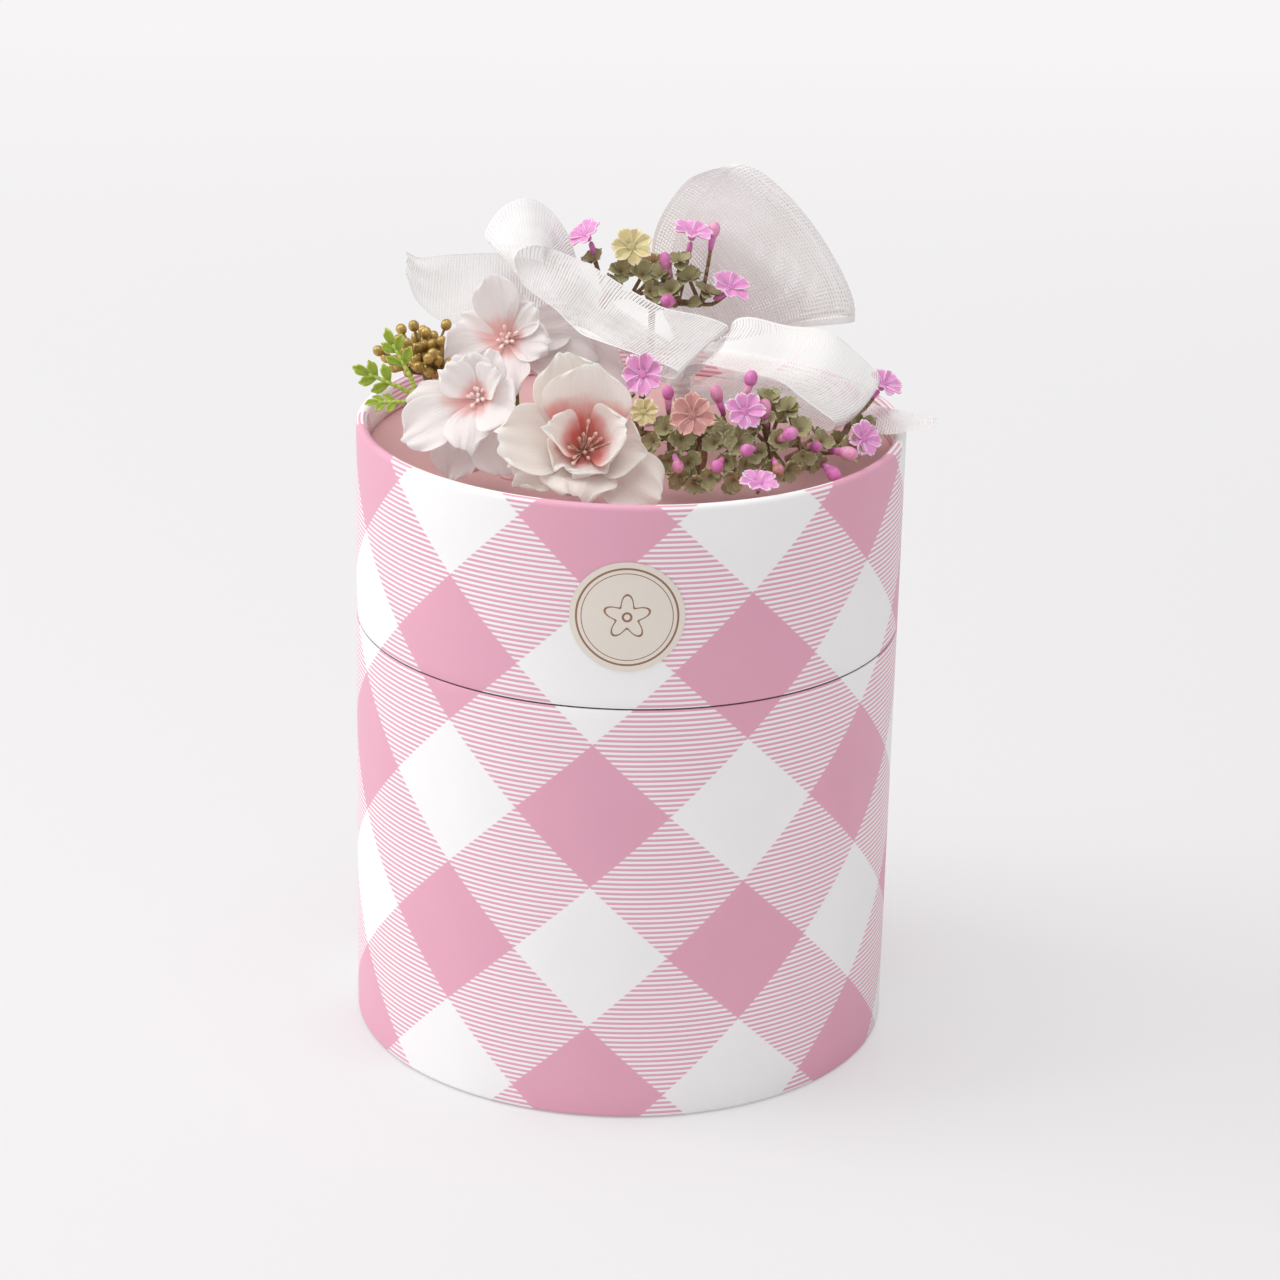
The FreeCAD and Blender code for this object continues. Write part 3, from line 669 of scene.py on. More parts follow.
# one bracket per petal: turn about the axis, length, width, rise, curl, cup, ruffle, phase
petalNames = ("turn", "length", "width", "rise", "curl", "cup", "ruffle", "phase")
blossoms = {
    "front": {
        "place": (-12.5, -49, 5.5), "axis": (0.05, -0.75, 0.66), "elbow": (-13, -40, -0.5),
        "foot": (-13, -38), "skirt": "creamPetal", "throat": "coralPetal",
        "stamens": {"count": 26, "length": 8.0, "spread": 58.0, "cloth": "stamenThread"},
        "outer": [
            (108, 27, 20, 26, 14, 0.22, 1.1, 0.4), (184, 25, 21, 22, 8, 0.3, 1.5, 1.4),
            (207, 21, 17, 20, -10, 0.15, 1.7, 2.2), (265, 18, 21, 37, -14, 0.08, 1.3, 2.6),
            (326, 25, 19, 18, -14, 0.1, 1.6, 0.9), (350, 18, 17, 24, 16, 0.35, 1.0, 3.9),
        ],
        "inner": [
            (90, 24, 24, 34, 22, 0.34, 1.0, 0.8), (8, 17, 18, 42, 26, 0.5, 0.6, 2.0),
            (170, 16, 13, 48, 16, 0.6, 0.9, 3.0), (240, 12, 17, 34, 14, 0.3, 1.5, 1.2),
            (305, 12.5, 16, 36, 14, 0.3, 1.1, 4.4),
        ],
    },
    "left": {
        "place": (-40, -34, 15), "axis": (-0.3, -0.78, 0.55), "elbow": (-31, -26, 4),
        "foot": (-30, -26), "skirt": "blushPetal", "throat": "palePetal",
        "stamens": {"count": 9, "length": 3.4, "spread": 34.0, "cloth": "paleThread"},
        "outer": [
            (60, 13, 13, 16, 10, 0.25, 1.1, 0.2), (115, 13, 13, 12, 10, 0.25, 1.2, 1.7),
            (86, 12, 12, 26, 10, 0.3, 0.8, 1.0), (175, 20, 14, 4, 2, 0.25, 1.4, 2.9),
            (238, 23, 14, -4, -6, 0.25, 1.6, 0.7), (280, 22, 14, 1, -8, 0.25, 1.4, 3.6),
        ],
        "inner": [
            (20, 12, 11, 40, 14, 0.4, 0.9, 0.5), (130, 12, 11, 36, 12, 0.4, 1.0, 2.5),
            (203, 23, 16, 14, -4, 0.2, 1.6, 1.1), (256, 16.5, 14, 22, -4, 0.3, 1.1, 3.1),
            (318, 16, 16, 26, 4, 0.35, 1.1, 4.0),
        ],
    },
    "upper": {
        "place": (-34, -9, 23.5), "axis": (-0.1, -0.8, 0.6), "elbow": (-32, -1, 12),
        "foot": (-31, -1), "skirt": "blushPetal", "throat": "palePetal",
        "stamens": {"count": 9, "length": 3.4, "spread": 34.0, "cloth": "paleThread"},
        "outer": [
            (12, 18.5, 14, 2, 2, 0.25, 0.8, 0.9), (70, 13, 12, 16, 6, 0.25, 0.7, 0.3),
            (150, 14, 13, 4, 4, 0.25, 1.1, 2.2), (238, 18, 15, 1, -8, 0.25, 1.4, 3.3),
            (340, 26, 17, -1, 3, 0.25, 1.2, 1.5), (336, 36, 20, -5, 0, 0.25, 1.3, 2.6),
        ],
        "inner": [
            (40, 12, 11, 26, 6, 0.3, 0.7, 2.1), (100, 18, 13, 28, 10, 0.3, 1.0, 0.6),
            (205, 17.5, 16, 14, -2, 0.25, 1.3, 0.1), (275, 16.5, 12.5, 18, -4, 0.3, 1.0, 2.7),
            (340, 13, 12, 20, 2, 0.3, 1.0, 1.9),
        ],
    },
}
clothSpec = {
    "layerLift": 1.3, "thick": 0.3, "grid": (14, 14),
    "finish": {"frill": 0.05, "roll": 0.8, "root": 0.9, "pleat": 0.3},
}
stamenSpec = {
    "hub": 1.8, "hubLift": 0.4, "hubFlat": 0.6, "footReach": 0.6, "footLift": 0.8, "bow": 0.5, "turn": 2.4,
    "turnStray": (-0.3, 0.3), "leanStray": (0.75, 1.2), "lengthStray": (0.65, 1.15),
    "thread": 0.3, "tipShare": 0.8, "anther": 0.56, "antherStretch": (1.2, 1.9),
}
calyxSpec = {"stem": 0.9, "radius": 3.2, "length": 5.0, "drop": 2.0, "waistPlace": 0.45, "waistShare": 0.72}


def makePetals(name, layer, petals, matrix, look):
    bm, uvLayer = newSheet()
    for petal in petals:
        cut = {**dict(zip(petalNames, petal)), **clothSpec["finish"]}
        addPetal(bm, uvLayer, cut, matrix, clothSpec["grid"])
    replaced = [f"{name}_blossom_{layer}_petals"]
    piece = finishPiece(f"{name}_{layer}_petal_cloth", bm, [look], replaced)
    thicken(piece, clothSpec["thick"])
    soften(piece)


def makeStamens(name, tuft, matrix, spec):
    thread = spec["thread"] * mm
    bm = bmesh.new()
    axis = matrix.to_3x3() @ Vector((0, 0, 1))
    addDrop(bm, matrix @ Vector((0, 0, spec["hubLift"] * mm)), axis, spec["hub"] * mm, spec["hubFlat"], 12)
    for k in range(tuft["count"]):
        share = math.sqrt((k + 0.5) / tuft["count"])
        turn = spec["turn"] * k + chance.uniform(*spec["turnStray"])
        lean = math.radians(tuft["spread"]) * share * chance.uniform(*spec["leanStray"])
        out = Vector((math.cos(turn), math.sin(turn), 0))
        way = out * math.sin(lean) + Vector((0, 0, math.cos(lean)))
        foot = out * spec["hub"] * spec["footReach"] * share + Vector((0, 0, spec["footLift"]))
        tip = foot + way * tuft["length"] * chance.uniform(*spec["lengthStray"])
        mid = (foot + tip) / 2 + Vector((0, 0, spec["bow"]))
        a, b, c = (matrix @ (point * mm) for point in (foot, mid, tip))
        addTaper(bm, a, b, thread, thread, 6)
        addTaper(bm, b, c, thread, thread * spec["tipShare"], 6)
        addDrop(bm, c, c - b, spec["anther"] * mm, chance.uniform(*spec["antherStretch"]), 8)
    finishPiece(f"{name}_stamen_tuft", bm, [tuft["cloth"]], [f"{name}_blossom_stamens"])


def makeCalyx(name, blossom, spec):
    way = Vector(blossom["axis"]).normalized()
    top = overRim(*blossom["place"]) - way * spec["drop"] * mm
    waist = top - way * spec["length"] * spec["waistPlace"] * mm
    back = top - way * spec["length"] * mm
    waistRadius = spec["radius"] * spec["waistShare"] * mm
    path = [back, overRim(*blossom["elbow"]), overRim(*blossom["foot"], footDrop)]
    bm = bmesh.new()
    addTaper(bm, back, waist, spec["stem"] * mm, waistRadius, 12)
    addTaper(bm, waist, top, waistRadius, spec["radius"] * mm, 12)
    addStem(bm, path, spec["stem"], spec["stem"])
    finishPiece(f"{name}_calyx_stem", bm, ["greenStem"], [f"{name}_blossom_calyx"])


for name, spec in blossoms.items():
    seat = seatMatrix(overRim(*spec["place"]), spec["axis"])
    lifted = seat @ Matrix.Translation((0, 0, clothSpec["layerLift"] * mm))
    makePetals(name, "outer", spec["outer"], seat, spec["skirt"])
    makePetals(name, "inner", spec["inner"], lifted, spec["throat"])
    makeStamens(name, spec["stamens"], seat, stamenSpec)
    makeCalyx(name, spec, calyxSpec)
print("blossoms made")


# sprigs

# florets: tip, axis, radius; buds: tip, size; leaves: root, way, face, size
sprigs = {
    "back": {
        "foot": (2, 24), "branch": [(-8, 15, 32), (-1, 16, 30), (5, 16, 27), (12, 14, 29), (18, 13, 29)],
        "pink": [((-12, 15, 45), (-0.5, -0.3, 0.8), 5.4), ((15, 17, 45), (0.15, -0.2, 0.95), 6.0),
                 ((25, 12, 32), (0.3, -0.45, 0.8), 6.0)],
        "cream": [((-1, 14, 43), (0.0, -0.8, 0.6), 6.0), ((5, 19, 36), (0.1, 0.4, 0.9), 5.0)],
        "buds": [((9, 12, 39), 3.6), ((21, 19, 46), 3.4), ((10, 8, 31), 3.8), ((-8, 9, 31), 3.2)],
        "leaves": [((-4, 13, 30), (-0.8, -0.2, 0.5), (-0.2, -0.7, 0.6), 2.6),
                   ((14, 12, 29), (0.7, -0.4, 0.3), (0, -0.6, 0.8), 2.4)],
        "whorls": [(-11, 14, 40), (-4, 12, 38), (2, 12, 37), (7, 12, 37), (4, 10, 33), (15, 12, 36),
                   (10, 11, 33), (20, 13, 32), (-7, 12, 34), (12, 12, 41)],
    },
    "front": {
        "foot": (19, -26),
        "branch": [(2, -38, 8), (10, -38, 7), (18, -37, 6), (27, -39, 6), (36, -40, 6), (44, -38, 6)],
        "pink": [((3, -33, 22), (-0.1, -0.9, 0.4), 6.0), ((29, -42, 15), (0.15, -0.85, 0.5), 5.4),
                 ((33, -58, -1.2), (0.1, -0.35, 0.93), 5.4)],
        "dusty": [((16, -44, 14), (-0.05, -0.85, 0.5), 6.2)],
        "cream": [((3.5, -38, 12.6), (-0.1, -0.8, 0.55), 4.2)],
        "buds": [((9.5, -39, 17.5), 3.2), ((23, -39, 17), 3.4), ((23, -53, 5), 3.4), ((38, -51, 4), 3.2),
                 ((40, -45, 10), 3.6), ((12, -50, 4), 3.2), ((30.5, -37, 21), 3.6), ((35, -42, 15), 3.4),
                 ((31, -50, 8), 3.4)],
        "leaves": [((34, -36, 15), (0.6, -0.1, 0.6), (0.1, -0.8, 0.5), 3.0),
                   ((38, -39, 7), (0.9, -0.3, 0.2), (0, -0.7, 0.7), 2.8),
                   ((12, -43, 1), (-0.6, -0.7, -0.1), (0, -0.4, 0.9), 2.8),
                   ((18, -47, 0), (0.1, -0.9, -0.1), (0, -0.2, 0.95), 2.8)],
        "whorls": [(36, -37, 17), (41, -38, 15), (38, -39, 12), (22, -45, 8), (28, -45, 8), (10, -45, 3),
                   (15, -47, 3), (13, -49, 0), (-1, -35, 16), (45, -42, 4), (32, -43, 11), (44, -40, 10),
                   (6, -42, 7), (20, -42, 11), (34, -46, 6), (25, -48, 4), (17, -50, -1), (21, -51, 1),
                   (27, -51, 0), (30, -47, 3), (37, -47, 2), (41, -45, 1), (9, -41, 10), (13, -42, 8),
                   (34, -41, 13), (25, -44, 10), (48, -40, 2), (38, -43, 8)],
    },
    "right": {
        "foot": (42, -14), "branch": [(46, -30, 3), (48, -20, 0), (55, -24, 2), (60, -9, 5)],
        "pink": [((67, 3, 8.2), (0.5, -0.3, 0.75), 5.4), ((60, -29, 4), (0.5, -0.7, 0.5), 5.4)],
        "buds": [((48, -37, 5), 3.4), ((55, -38, 4), 3.8), ((52, -42, 0.5), 3.8)],
        "leaves": [((45, -36, 1), (0.0, -0.95, -0.05), (0.1, -0.1, 0.95), 2.8),
                   ((62, -21, 2.5), (0.8, 0.1, 0.2), (-0.2, -0.3, 0.9), 2.6)],
        "whorls": [(58, -33, 3), (50, -36, 6), (55, -30, 4), (62, -17, 5), (49, -28, 5)],
    },
}
floretColours = ("pink", "dusty", "cream")
floretSpec = {
    "petals": 7, "seat": 0.8, "roll": (0, 45), "throat": 0.2, "peg": 2.2, "sleeve": 4.0, "tube": (0.7, 0.85),
    "mouth": 1.1, "mouthLift": 0.3, "eyeFlat": 0.3, "eyeShade": (0.5, 0.2), "thick": 0.5, "grid": (8, 7),
    "turnStray": (-4, 4), "length": (0.92, 1.08), "width": 0.66, "rise": (12.0, 28.0), "ruffle": 1 / 60,
    "root": 0.4, "form": {"curl": -12, "cup": 0.4, "notch": 0.3, "groove": 0.45, "rootShare": 0.34,
                          "widest": 0.72, "blunt": 0.3},
}
twigSpec = {
    "trunk": 0.95, "twig": 0.62, "tip": 0.5, "leafTip": 0.4, "leafGrip": 0.5, "sag": 1.2, "bow": (1, 1, 0),
}
leafSpec = {
    "length": 2.2, "width": 1.9, "grid": (8, 9),
    "form": {"rise": 6, "curl": -30, "cup": 0.3, "ruffle": 0.15, "root": 0.0, "groove": 0.3,
             "rootShare": 0.14, "widest": 0.58, "notch": 0.0, "blunt": 0.12},
}
whorlSpec = {
    "leaves": 6, "steep": (0.2, 1.3), "size": (1.4, 2.4), "first": (0, 60), "stray": (-18, 18),
    "towards": (0, -0.5, 0.3),
}
budSpec = {
    "stretch": (1.15, 1.6), "stalk": 3.5, "grip": 0.3, "stalkRadius": 0.65, "collar": 0.34,
    "looks": ["budSkin", "paleBud", "dustyBud"], "order": (0, 1, 0, 2, 0, 1),
}


def nearest(points, place):
    return min(points, key=lambda point: (point - place).length)


def addFloret(bm, uvLayer, spec, start, tip, axis, radius):
    roll = chance.uniform(*spec["roll"])
    seat = seatMatrix(tip, axis, roll) @ Matrix.Translation((0, 0, spec["seat"] * mm))
    neck = seat.translation
    head = seat @ Matrix.Translation((0, 0, spec["peg"] * mm))
    mouth = head @ Vector((0, 0, spec["mouthLift"] * mm))
    throat = spec["throat"] * radius
    wide = spec["mouth"] * throat * mm
    thin, thick = (share * mm for share in spec["tube"])
    # coloured tube from the twig up into the throat
    made = len(bm.faces)
    addTaper(bm, tip - (tip - start).normalized() * spec["sleeve"] * mm, neck, thin, thick, 10)
    addTaper(bm, neck, mouth, thick, wide, 10)
    addDrop(bm, mouth, axis, wide, spec["eyeFlat"], 10)
    bm.faces.ensure_lookup_table()
    for face in bm.faces[made:]:
        for loop in face.loops:
            loop[uvLayer].uv = spec["eyeShade"]
    for k in range(spec["petals"]):
        petal = dict(
            spec["form"], turn=360 / spec["petals"] * k + chance.uniform(*spec["turnStray"]),
            length=radius * chance.uniform(*spec["length"]), width=radius * spec["width"],
            rise=chance.uniform(*spec["rise"]), ruffle=radius * spec["ruffle"], phase=k,
            root=spec["root"] * throat)
        addPetal(bm, uvLayer, petal, head, spec["grid"])


def addLeaf(bm, uvLayer, spec, root, way, face, size):
    leaf = dict(spec["form"], length=size * spec["length"], width=size * spec["width"], phase=size)
    addPetal(bm, uvLayer, leaf, leafMatrix(root, way, face), spec["grid"])


# little leaves round the end of a stalk
def whorlLeaves(root, start, spec):
    seat = seatMatrix(Vector(), (root - start).normalized() + Vector(spec["towards"]))
    first = chance.uniform(*spec["first"])
    for k in range(spec["leaves"]):
        turn = math.radians(first + 360 / spec["leaves"] * k + chance.uniform(*spec["stray"]))
        steep = chance.uniform(*spec["steep"])
        way = seat @ Vector((math.cos(turn), math.sin(turn), steep))
        face = seat @ Vector((-steep * math.cos(turn), -steep * math.sin(turn), 1))
        yield root, way, face, chance.uniform(*spec["size"])


def makeTwigs(name, spec, branch):
    trunk, twig, tip = twigSpec["trunk"], twigSpec["twig"], twigSpec["tip"]
    foot = overRim(*spec["foot"], footDrop)
    knot = nearest(branch, foot)
    bm, uvLayer = newSheet()
    addStem(bm, [foot, (foot + knot) / 2 + Vector(twigSpec["bow"]) * mm, knot], trunk, trunk)
    addStem(bm, branch, trunk, trunk, 4)
    heads = [head for kind in (*floretColours, "buds") for head in spec.get(kind, [])]
    for end in (overRim(*head[0]) for head in heads):
        start = nearest(branch, end)
        addStem(bm, [start, (start + end) / 2 - Vector((0, 0, twigSpec["sag"] * mm)), end], twig, tip, 4, 7)
    leaves = [(overRim(*root), way, face, size) for root, way, face, size in spec["leaves"]]
    for root, way, face, size in leaves:
        start = nearest(branch, root)
        grip = root + Vector(way).normalized() * twigSpec["leafGrip"] * mm
        addStem(bm, [start, (start + root) / 2, grip], twig, twigSpec["leafTip"], 3, 7)
    for root in (overRim(*place) for place in spec["whorls"]):
        start = nearest(branch, root)
        addStem(bm, [start, (start + root) / 2, root], twig, tip, 3, 7)
        leaves += whorlLeaves(root, start, whorlSpec)
    stemFaces = len(bm.faces)
    for leaf in leaves:
        addLeaf(bm, uvLayer, leafSpec, *leaf)
    setLookFrom(bm, stemFaces, 1)
    finishPiece(f"{name}_twigs", bm, ["twigSkin", "oliveLeaf"], [f"{name}_sprig_stems"])


def makeFlorets(name, colour, florets, branch):
    bm, uvLayer = newSheet()
    for tip, axis, radius in florets:
        end = overRim(*tip)
        addFloret(bm, uvLayer, floretSpec, nearest(branch, end), end, axis, radius)
    replaced = [f"{name}_sprig_{colour}_florets"]
    piece = finishPiece(f"{name}_{colour}_florets", bm, [f"{colour}Floret"], replaced)
    thicken(piece, floretSpec["thick"])
    soften(piece)


def makeBuds(name, buds, branch, spec):
    bm = bmesh.new()
    for k, (tip, size) in enumerate(buds):
        end = overRim(*tip)
        way = (end - nearest(branch, end)).normalized()
        stretch = chance.uniform(*spec["stretch"])
        made = len(bm.faces)
        addDrop(bm, end + way * size / 2 * stretch * mm, way, size / 2 * mm, stretch, 14)
        low, high = end - way * spec["stalk"] * mm, end + way * spec["grip"] * size * mm
        addTaper(bm, low, high, spec["stalkRadius"] * mm, spec["collar"] * size * mm, 9)
        setLookFrom(bm, made, spec["order"][k % len(spec["order"])])
    finishPiece(f"{name}_buds", bm, spec["looks"], [f"{name}_sprig_buds"])


for name, spec in sprigs.items():
    branch = [overRim(*point) for point in spec["branch"]]
    makeTwigs(name, spec, branch)
    for colour in floretColours:
        if colour in spec:
            makeFlorets(name, colour, spec[colour], branch)
    makeBuds(name, spec["buds"], branch, budSpec)
print("sprigs made")


# berries on wires

berrySpec = {
    "foot": (-42, -4), "stem": (0.9, 0.8), "stalk": (0.8, 0.7), "sag": 1.0, "wire": 0.4, "bead": 3.0,
    "beadStretch": 1.1, "beadSeat": 0.55, "golden": 137.5, "step": 3.0,
    # wide fan, and a tighter one that fills it towards the blossoms: root, axis, reach, spread, count
    "fans": [((-56, -6, 13), (-0.4, -0.15, 0.9), 13.0, 58.0, 12),
             ((-55, -9, 12.5), (0.1, -0.25, 0.9), 11.0, 46.0, 9)],
    "rings": [(0.0, 1.0, 1.0), (28.0, 0.7, 0.95), (64.0, 0.42, 0.9)],     # turn, part of the reach, size
}


def makeBerries(spec):
    knot = overRim(*spec["fans"][0][0])
    foot = overRim(*spec["foot"], footDrop)
    sag = Vector((0, 0, spec["sag"] * mm))
    wires = bmesh.new()
    beads = bmesh.new()
    addStem(wires, [foot, (foot + knot) / 2, knot], *spec["stem"])
    for place, axis, length, spread, count in spec["fans"]:
        root, turn = overRim(*place), seatMatrix(Vector(), axis)
        addStem(wires, [knot, (knot + root) / 2 - sag, root], *spec["stalk"], 2, 8)
        for k in range(count):
            lean = math.radians(spread) * math.sqrt((k + 0.5) / count)
            for aside, part, share in spec["rings"]:
                angle = math.radians(spec["golden"] * k + aside)
                out = Vector((math.cos(angle), math.sin(angle), 0)) * math.sin(lean)
                way = turn @ (out + Vector((0, 0, math.cos(lean))))
                size = spec["bead"] * share * mm
                tip = root + way * (length - spec["step"] * (k % 2)) * part * mm
                addStem(wires, [root, (root + tip) / 2, tip], spec["wire"], spec["wire"], 2, 6)
                addDrop(beads, tip + way * size * spec["beadSeat"], way, size / 2, spec["beadStretch"], 14)
    finishPiece("berry_bead_cluster", beads, ["beadGold"], ["berry_beads"])
    finishPiece("berry_wire_stems", wires, ["wireSkin"], ["berry_wires"])


# fronds: root, way, face, length; lobes: place along the frond, angle, length over the frond's
fernSpec = {
    "foot": (-45, -20), "knot": (-57, -22, 11), "stem": (0.9, 0.7), "stalk": (0.6, 0.5), "rib": (0.5, 0.35),
    "ribPlaces": (0.4, 0.75), "thick": 0.4, "narrow": 0.5, "grid": (4, 6),
    "fronds": [((-59, -22, 17), (-0.45, 0.05, 0.85), (-0.3, -0.9, 0.1), 13.0),
               ((-61, -23, 14), (-0.85, -0.1, 0.4), (-0.2, -0.9, 0.4), 13.0),
               ((-60, -25, 11), (-0.88, -0.3, 0.05), (0.1, -0.5, 0.85), 10.0)],
    "lobes": [(0.3, 48, 0.42), (0.3, -48, 0.42), (0.58, 40, 0.4), (0.58, -40, 0.4), (0.72, 0, 0.42)],
    "form": {"rise": 6, "curl": -24, "cup": 0.3, "ruffle": 0.1, "root": 0.0, "groove": 0.3,
             "rootShare": 0.2, "widest": 0.62, "notch": -0.03},
}


def makeFern(spec):
    knot = overRim(*spec["knot"])
    foot = overRim(*spec["foot"], footDrop)
    bm, uvLayer = newSheet()
    addStem(bm, [foot, (foot + knot) / 2, knot], *spec["stem"])
    for root, way, face, length in spec["fronds"]:
        start = overRim(*root)
        along = Vector(way).normalized()
        normal = (Vector(face) - along * along.dot(Vector(face))).normalized()
        addStem(bm, [knot, (knot + start) / 2, start], *spec["stalk"], 3, 7)
        rib = [start] + [start + along * length * place * mm for place in spec["ribPlaces"]]
        addStem(bm, rib, *spec["rib"], 3, 7)
        for place, angle, share in spec["lobes"]:
            reach = length * share
            lobe = dict(spec["form"], length=reach, width=reach * spec["narrow"], phase=angle)
            lobeWay = Quaternion(normal, math.radians(angle)) @ along
            matrix = leafMatrix(start + along * length * place * mm, lobeWay, normal)
            addPetal(bm, uvLayer, lobe, matrix, spec["grid"])
    piece = finishPiece("lime_fronds", bm, ["limeLeaf"], ["green_leaf_sprig"])
    thicken(piece, spec["thick"])


makeBerries(berrySpec)
makeFern(fernSpec)
print("berries and fronds made")


# ribbon bow

tieSpec = {
    "place": (13.0, 8.0), "low": 2.0, "high": 20.0, "radius": 3.0, "clear": 0.7, "gather": 6.0, "post": 0.9,
    "postGrip": 1.0, "rings": 60, "sides": 24, "waist": 0.12, "turns": 9, "turnDepth": 0.12,
}
# stations: middle of the ribbon, width and, where it twists, the way across it
bow = {
    "bow_left_loop": {
        "across": (0.43, 0.88, 0.2), "side": -1, "starts": None, "ends": 17, "flat": (0.021, 0.14),
        "stations": [
            (12, -13.5, 22.8, 25, 0.49, 0.84, 0.22), (17, -14.5, 22.6, 27, 0.49, 0.84, 0.22),
            (18.6, -14.6, 23.9, 27.4, 0.49, 0.84, 0.22), (17, -14.4, 25.3, 27.6, 0.5, 0.84, 0.21),
            (8.5, -13.5, 28.3, 29, 0.56, 0.82, 0.14), (-0.5, -11.2, 30, 27.5, 0.55, 0.82, 0.16),
            (-8, -7.5, 32.2, 25.5, 0.42, 0.86, 0.3), (-12.5, -4.5, 34.6, 23.5, 0.36, 0.86, 0.36),
            (-18, -1.5, 38, 21.5, 0.3, 0.87, 0.38), (-26, 1.5, 41, 19.5, 0.16, 0.89, 0.42),
            (-33, 3, 42, 18.5, -0.25, 0.92, 0.3), (-36.5, 4.5, 44, 18.5, -0.5, 0.84, 0.2),
            (-36, 6, 47.5, 18.5, -0.4, 0.85, 0.34), (-33, 7.5, 50.8, 18.5, -0.22, 0.86, 0.46),
            (-28, 9.5, 51.8, 18, -0.1, 0.87, 0.48), (-23.5, 12, 49, 17, 0.1, 0.93, 0.3),
            (-21, 13, 42.5, 16), (-17.5, 11.5, 34, 15), (-9, 10.5, 27, 12),
        ],
    },
    "bow_back_loop": {
        "across": (-0.62, 0.28, 0.73), "side": 1, "starts": 14, "ends": 5, "flat": (0.035, 0.137),
        "belly": (0.76, 0.0, 0.65), "stations": [
            (12, 22, 22, 17), (17, 24, 31, 36), (30, 21, 42, 50), (43, 18, 46.5, 54),
            (46, 23, 46, 53), (41, 31, 43, 50), (24, 38, 30, 36), (15, 33, 19, 16),
        ],
    },
    "bow_front_loop": {
        "across": (0.42, 0.89, 0.15), "side": 1, "starts": 15, "ends": 8, "flat": (0.028, 0.132),
        "belly": (0.6, -0.1, -0.35), "stations": [
            (13, -7, 16.8, 19), (15.5, -13.5, 19.3, 27), (19.8, -14.6, 21.8, 30), (21.8, -14.6, 25.6, 31),
            (27, -14.6, 26.4, 32), (36.5, -16.5, 24.6, 32.4), (47, -18.5, 23.2, 33), (53, -19.5, 19.6, 33.5),
            (58, -20, 15.6, 33), (61, -20, 12.4, 32), (58, -14, 9, 32), (41, -8, 10, 29), (25, -4, 11, 20),
        ],
    },
    "bow_left_tail": {
        "across": (0.02, 0.66, 0.75), "side": -1, "starts": 10, "ends": None, "flat": (0.015, 0.082),
        "stations": [
            (-12, 14, 27, 14), (-34, 12.5, 33, 19), (-49, 8, 33, 21), (-58, 7, 35.5, 14), (-62, 8, 40, 7),
        ],
    },
    "bow_right_tail": {
        "across": (0.16, 0.98, 0.1), "side": 1, "starts": 4, "ends": None, "flat": (0.014, 0.073),
        "stations": [(41, 12, 2.5, 12), (59, 2, 2.2, 19), (69, -6, 2.6, 17), (82, -12, 5, 8)],
    },
}
ribbonSpec = {
    "steps": 9, "across": 22, "fullWidth": 20.0, "ripple": 0.35, "rippleRun": 0.21, "rippleAcross": 2.4,
    "pleat": 0.8, "pleats": 9.0, "bulge": 4.0, "corner": 2.5,
}


# where a ribbon lies flat against the tie
def gatherPoint(spec, up):
    ahead, aside, rise = spec["across"]
    out = Vector((aside, -ahead)).normalized() * spec["side"] * (tieSpec["radius"] + tieSpec["clear"])
    return (tieSpec["place"][0] + out.x, tieSpec["place"][1] + out.y, up, tieSpec["gather"])


def makeRibbon(name, spec, form):
    stations, steps = list(spec["stations"]), form["steps"]
    if spec["starts"] is not None:
        stations.insert(0, gatherPoint(spec, spec["starts"]))
    if spec["ends"] is not None:
        stations.append(gatherPoint(spec, spec["ends"]))
    middles = smoothPath([Vector(station[:3]) for station in stations], steps)
    widths = smoothPath([Vector((station[3], 0, 0)) for station in stations], steps)
    ways = smoothPath([Vector(station[4:] or spec["across"]).normalized() for station in stations], steps)
    belly = Vector(spec.get("belly", (0, 0, 0)))
    runs = [0.0]
    for a, b in zip(middles, middles[1:]):
        runs.append(runs[-1] + (b - a).length)
    last = len(middles) - 1

    def shape(t, s):
        k = min(round(s * last), last)
        ahead = (middles[min(k + 1, last)] - middles[max(k - 1, 0)]).normalized()
        way = ways[k].normalized()
        width = widths[k].x
        wide = width / form["fullWidth"]
        ripple = math.sin(runs[k] * form["rippleRun"] + form["rippleAcross"] * t)
        lift = form["ripple"] * ripple * min(1.0, wide)
        lift += form["pleat"] * max(0.0, 1 - wide) * math.sin(form["pleats"] * t)
        # a wide loop bulges at its fold and rounds off at the edges
        bulge = form["bulge"] * (1 - t * t) - form["corner"] * t ** 8
        place = middles[k] + way * (t * width / 2) + ahead.cross(way).normalized() * lift
        return overRim(*(place + belly * bulge * math.sin(math.pi * k / last) ** 2))

    bm, uvLayer = newSheet()
    shapedGrid(bm, uvLayer, form["across"], last, shape)
    for face in bm.faces:
        for loop in face.loops:
            u, v = loop[uvLayer].uv
            loop[uvLayer].uv = (u, runs[min(round(v * last), last)] * mm / weaveSpec["span"])
    piece = finishPiece(name.replace("bow_", "gauze_"), bm, ["ribbonGauze"], [name])
    print(name, "run", round(runs[-1], 1), "mean width", round(sum(w.x for w in widths) / len(widths), 1))


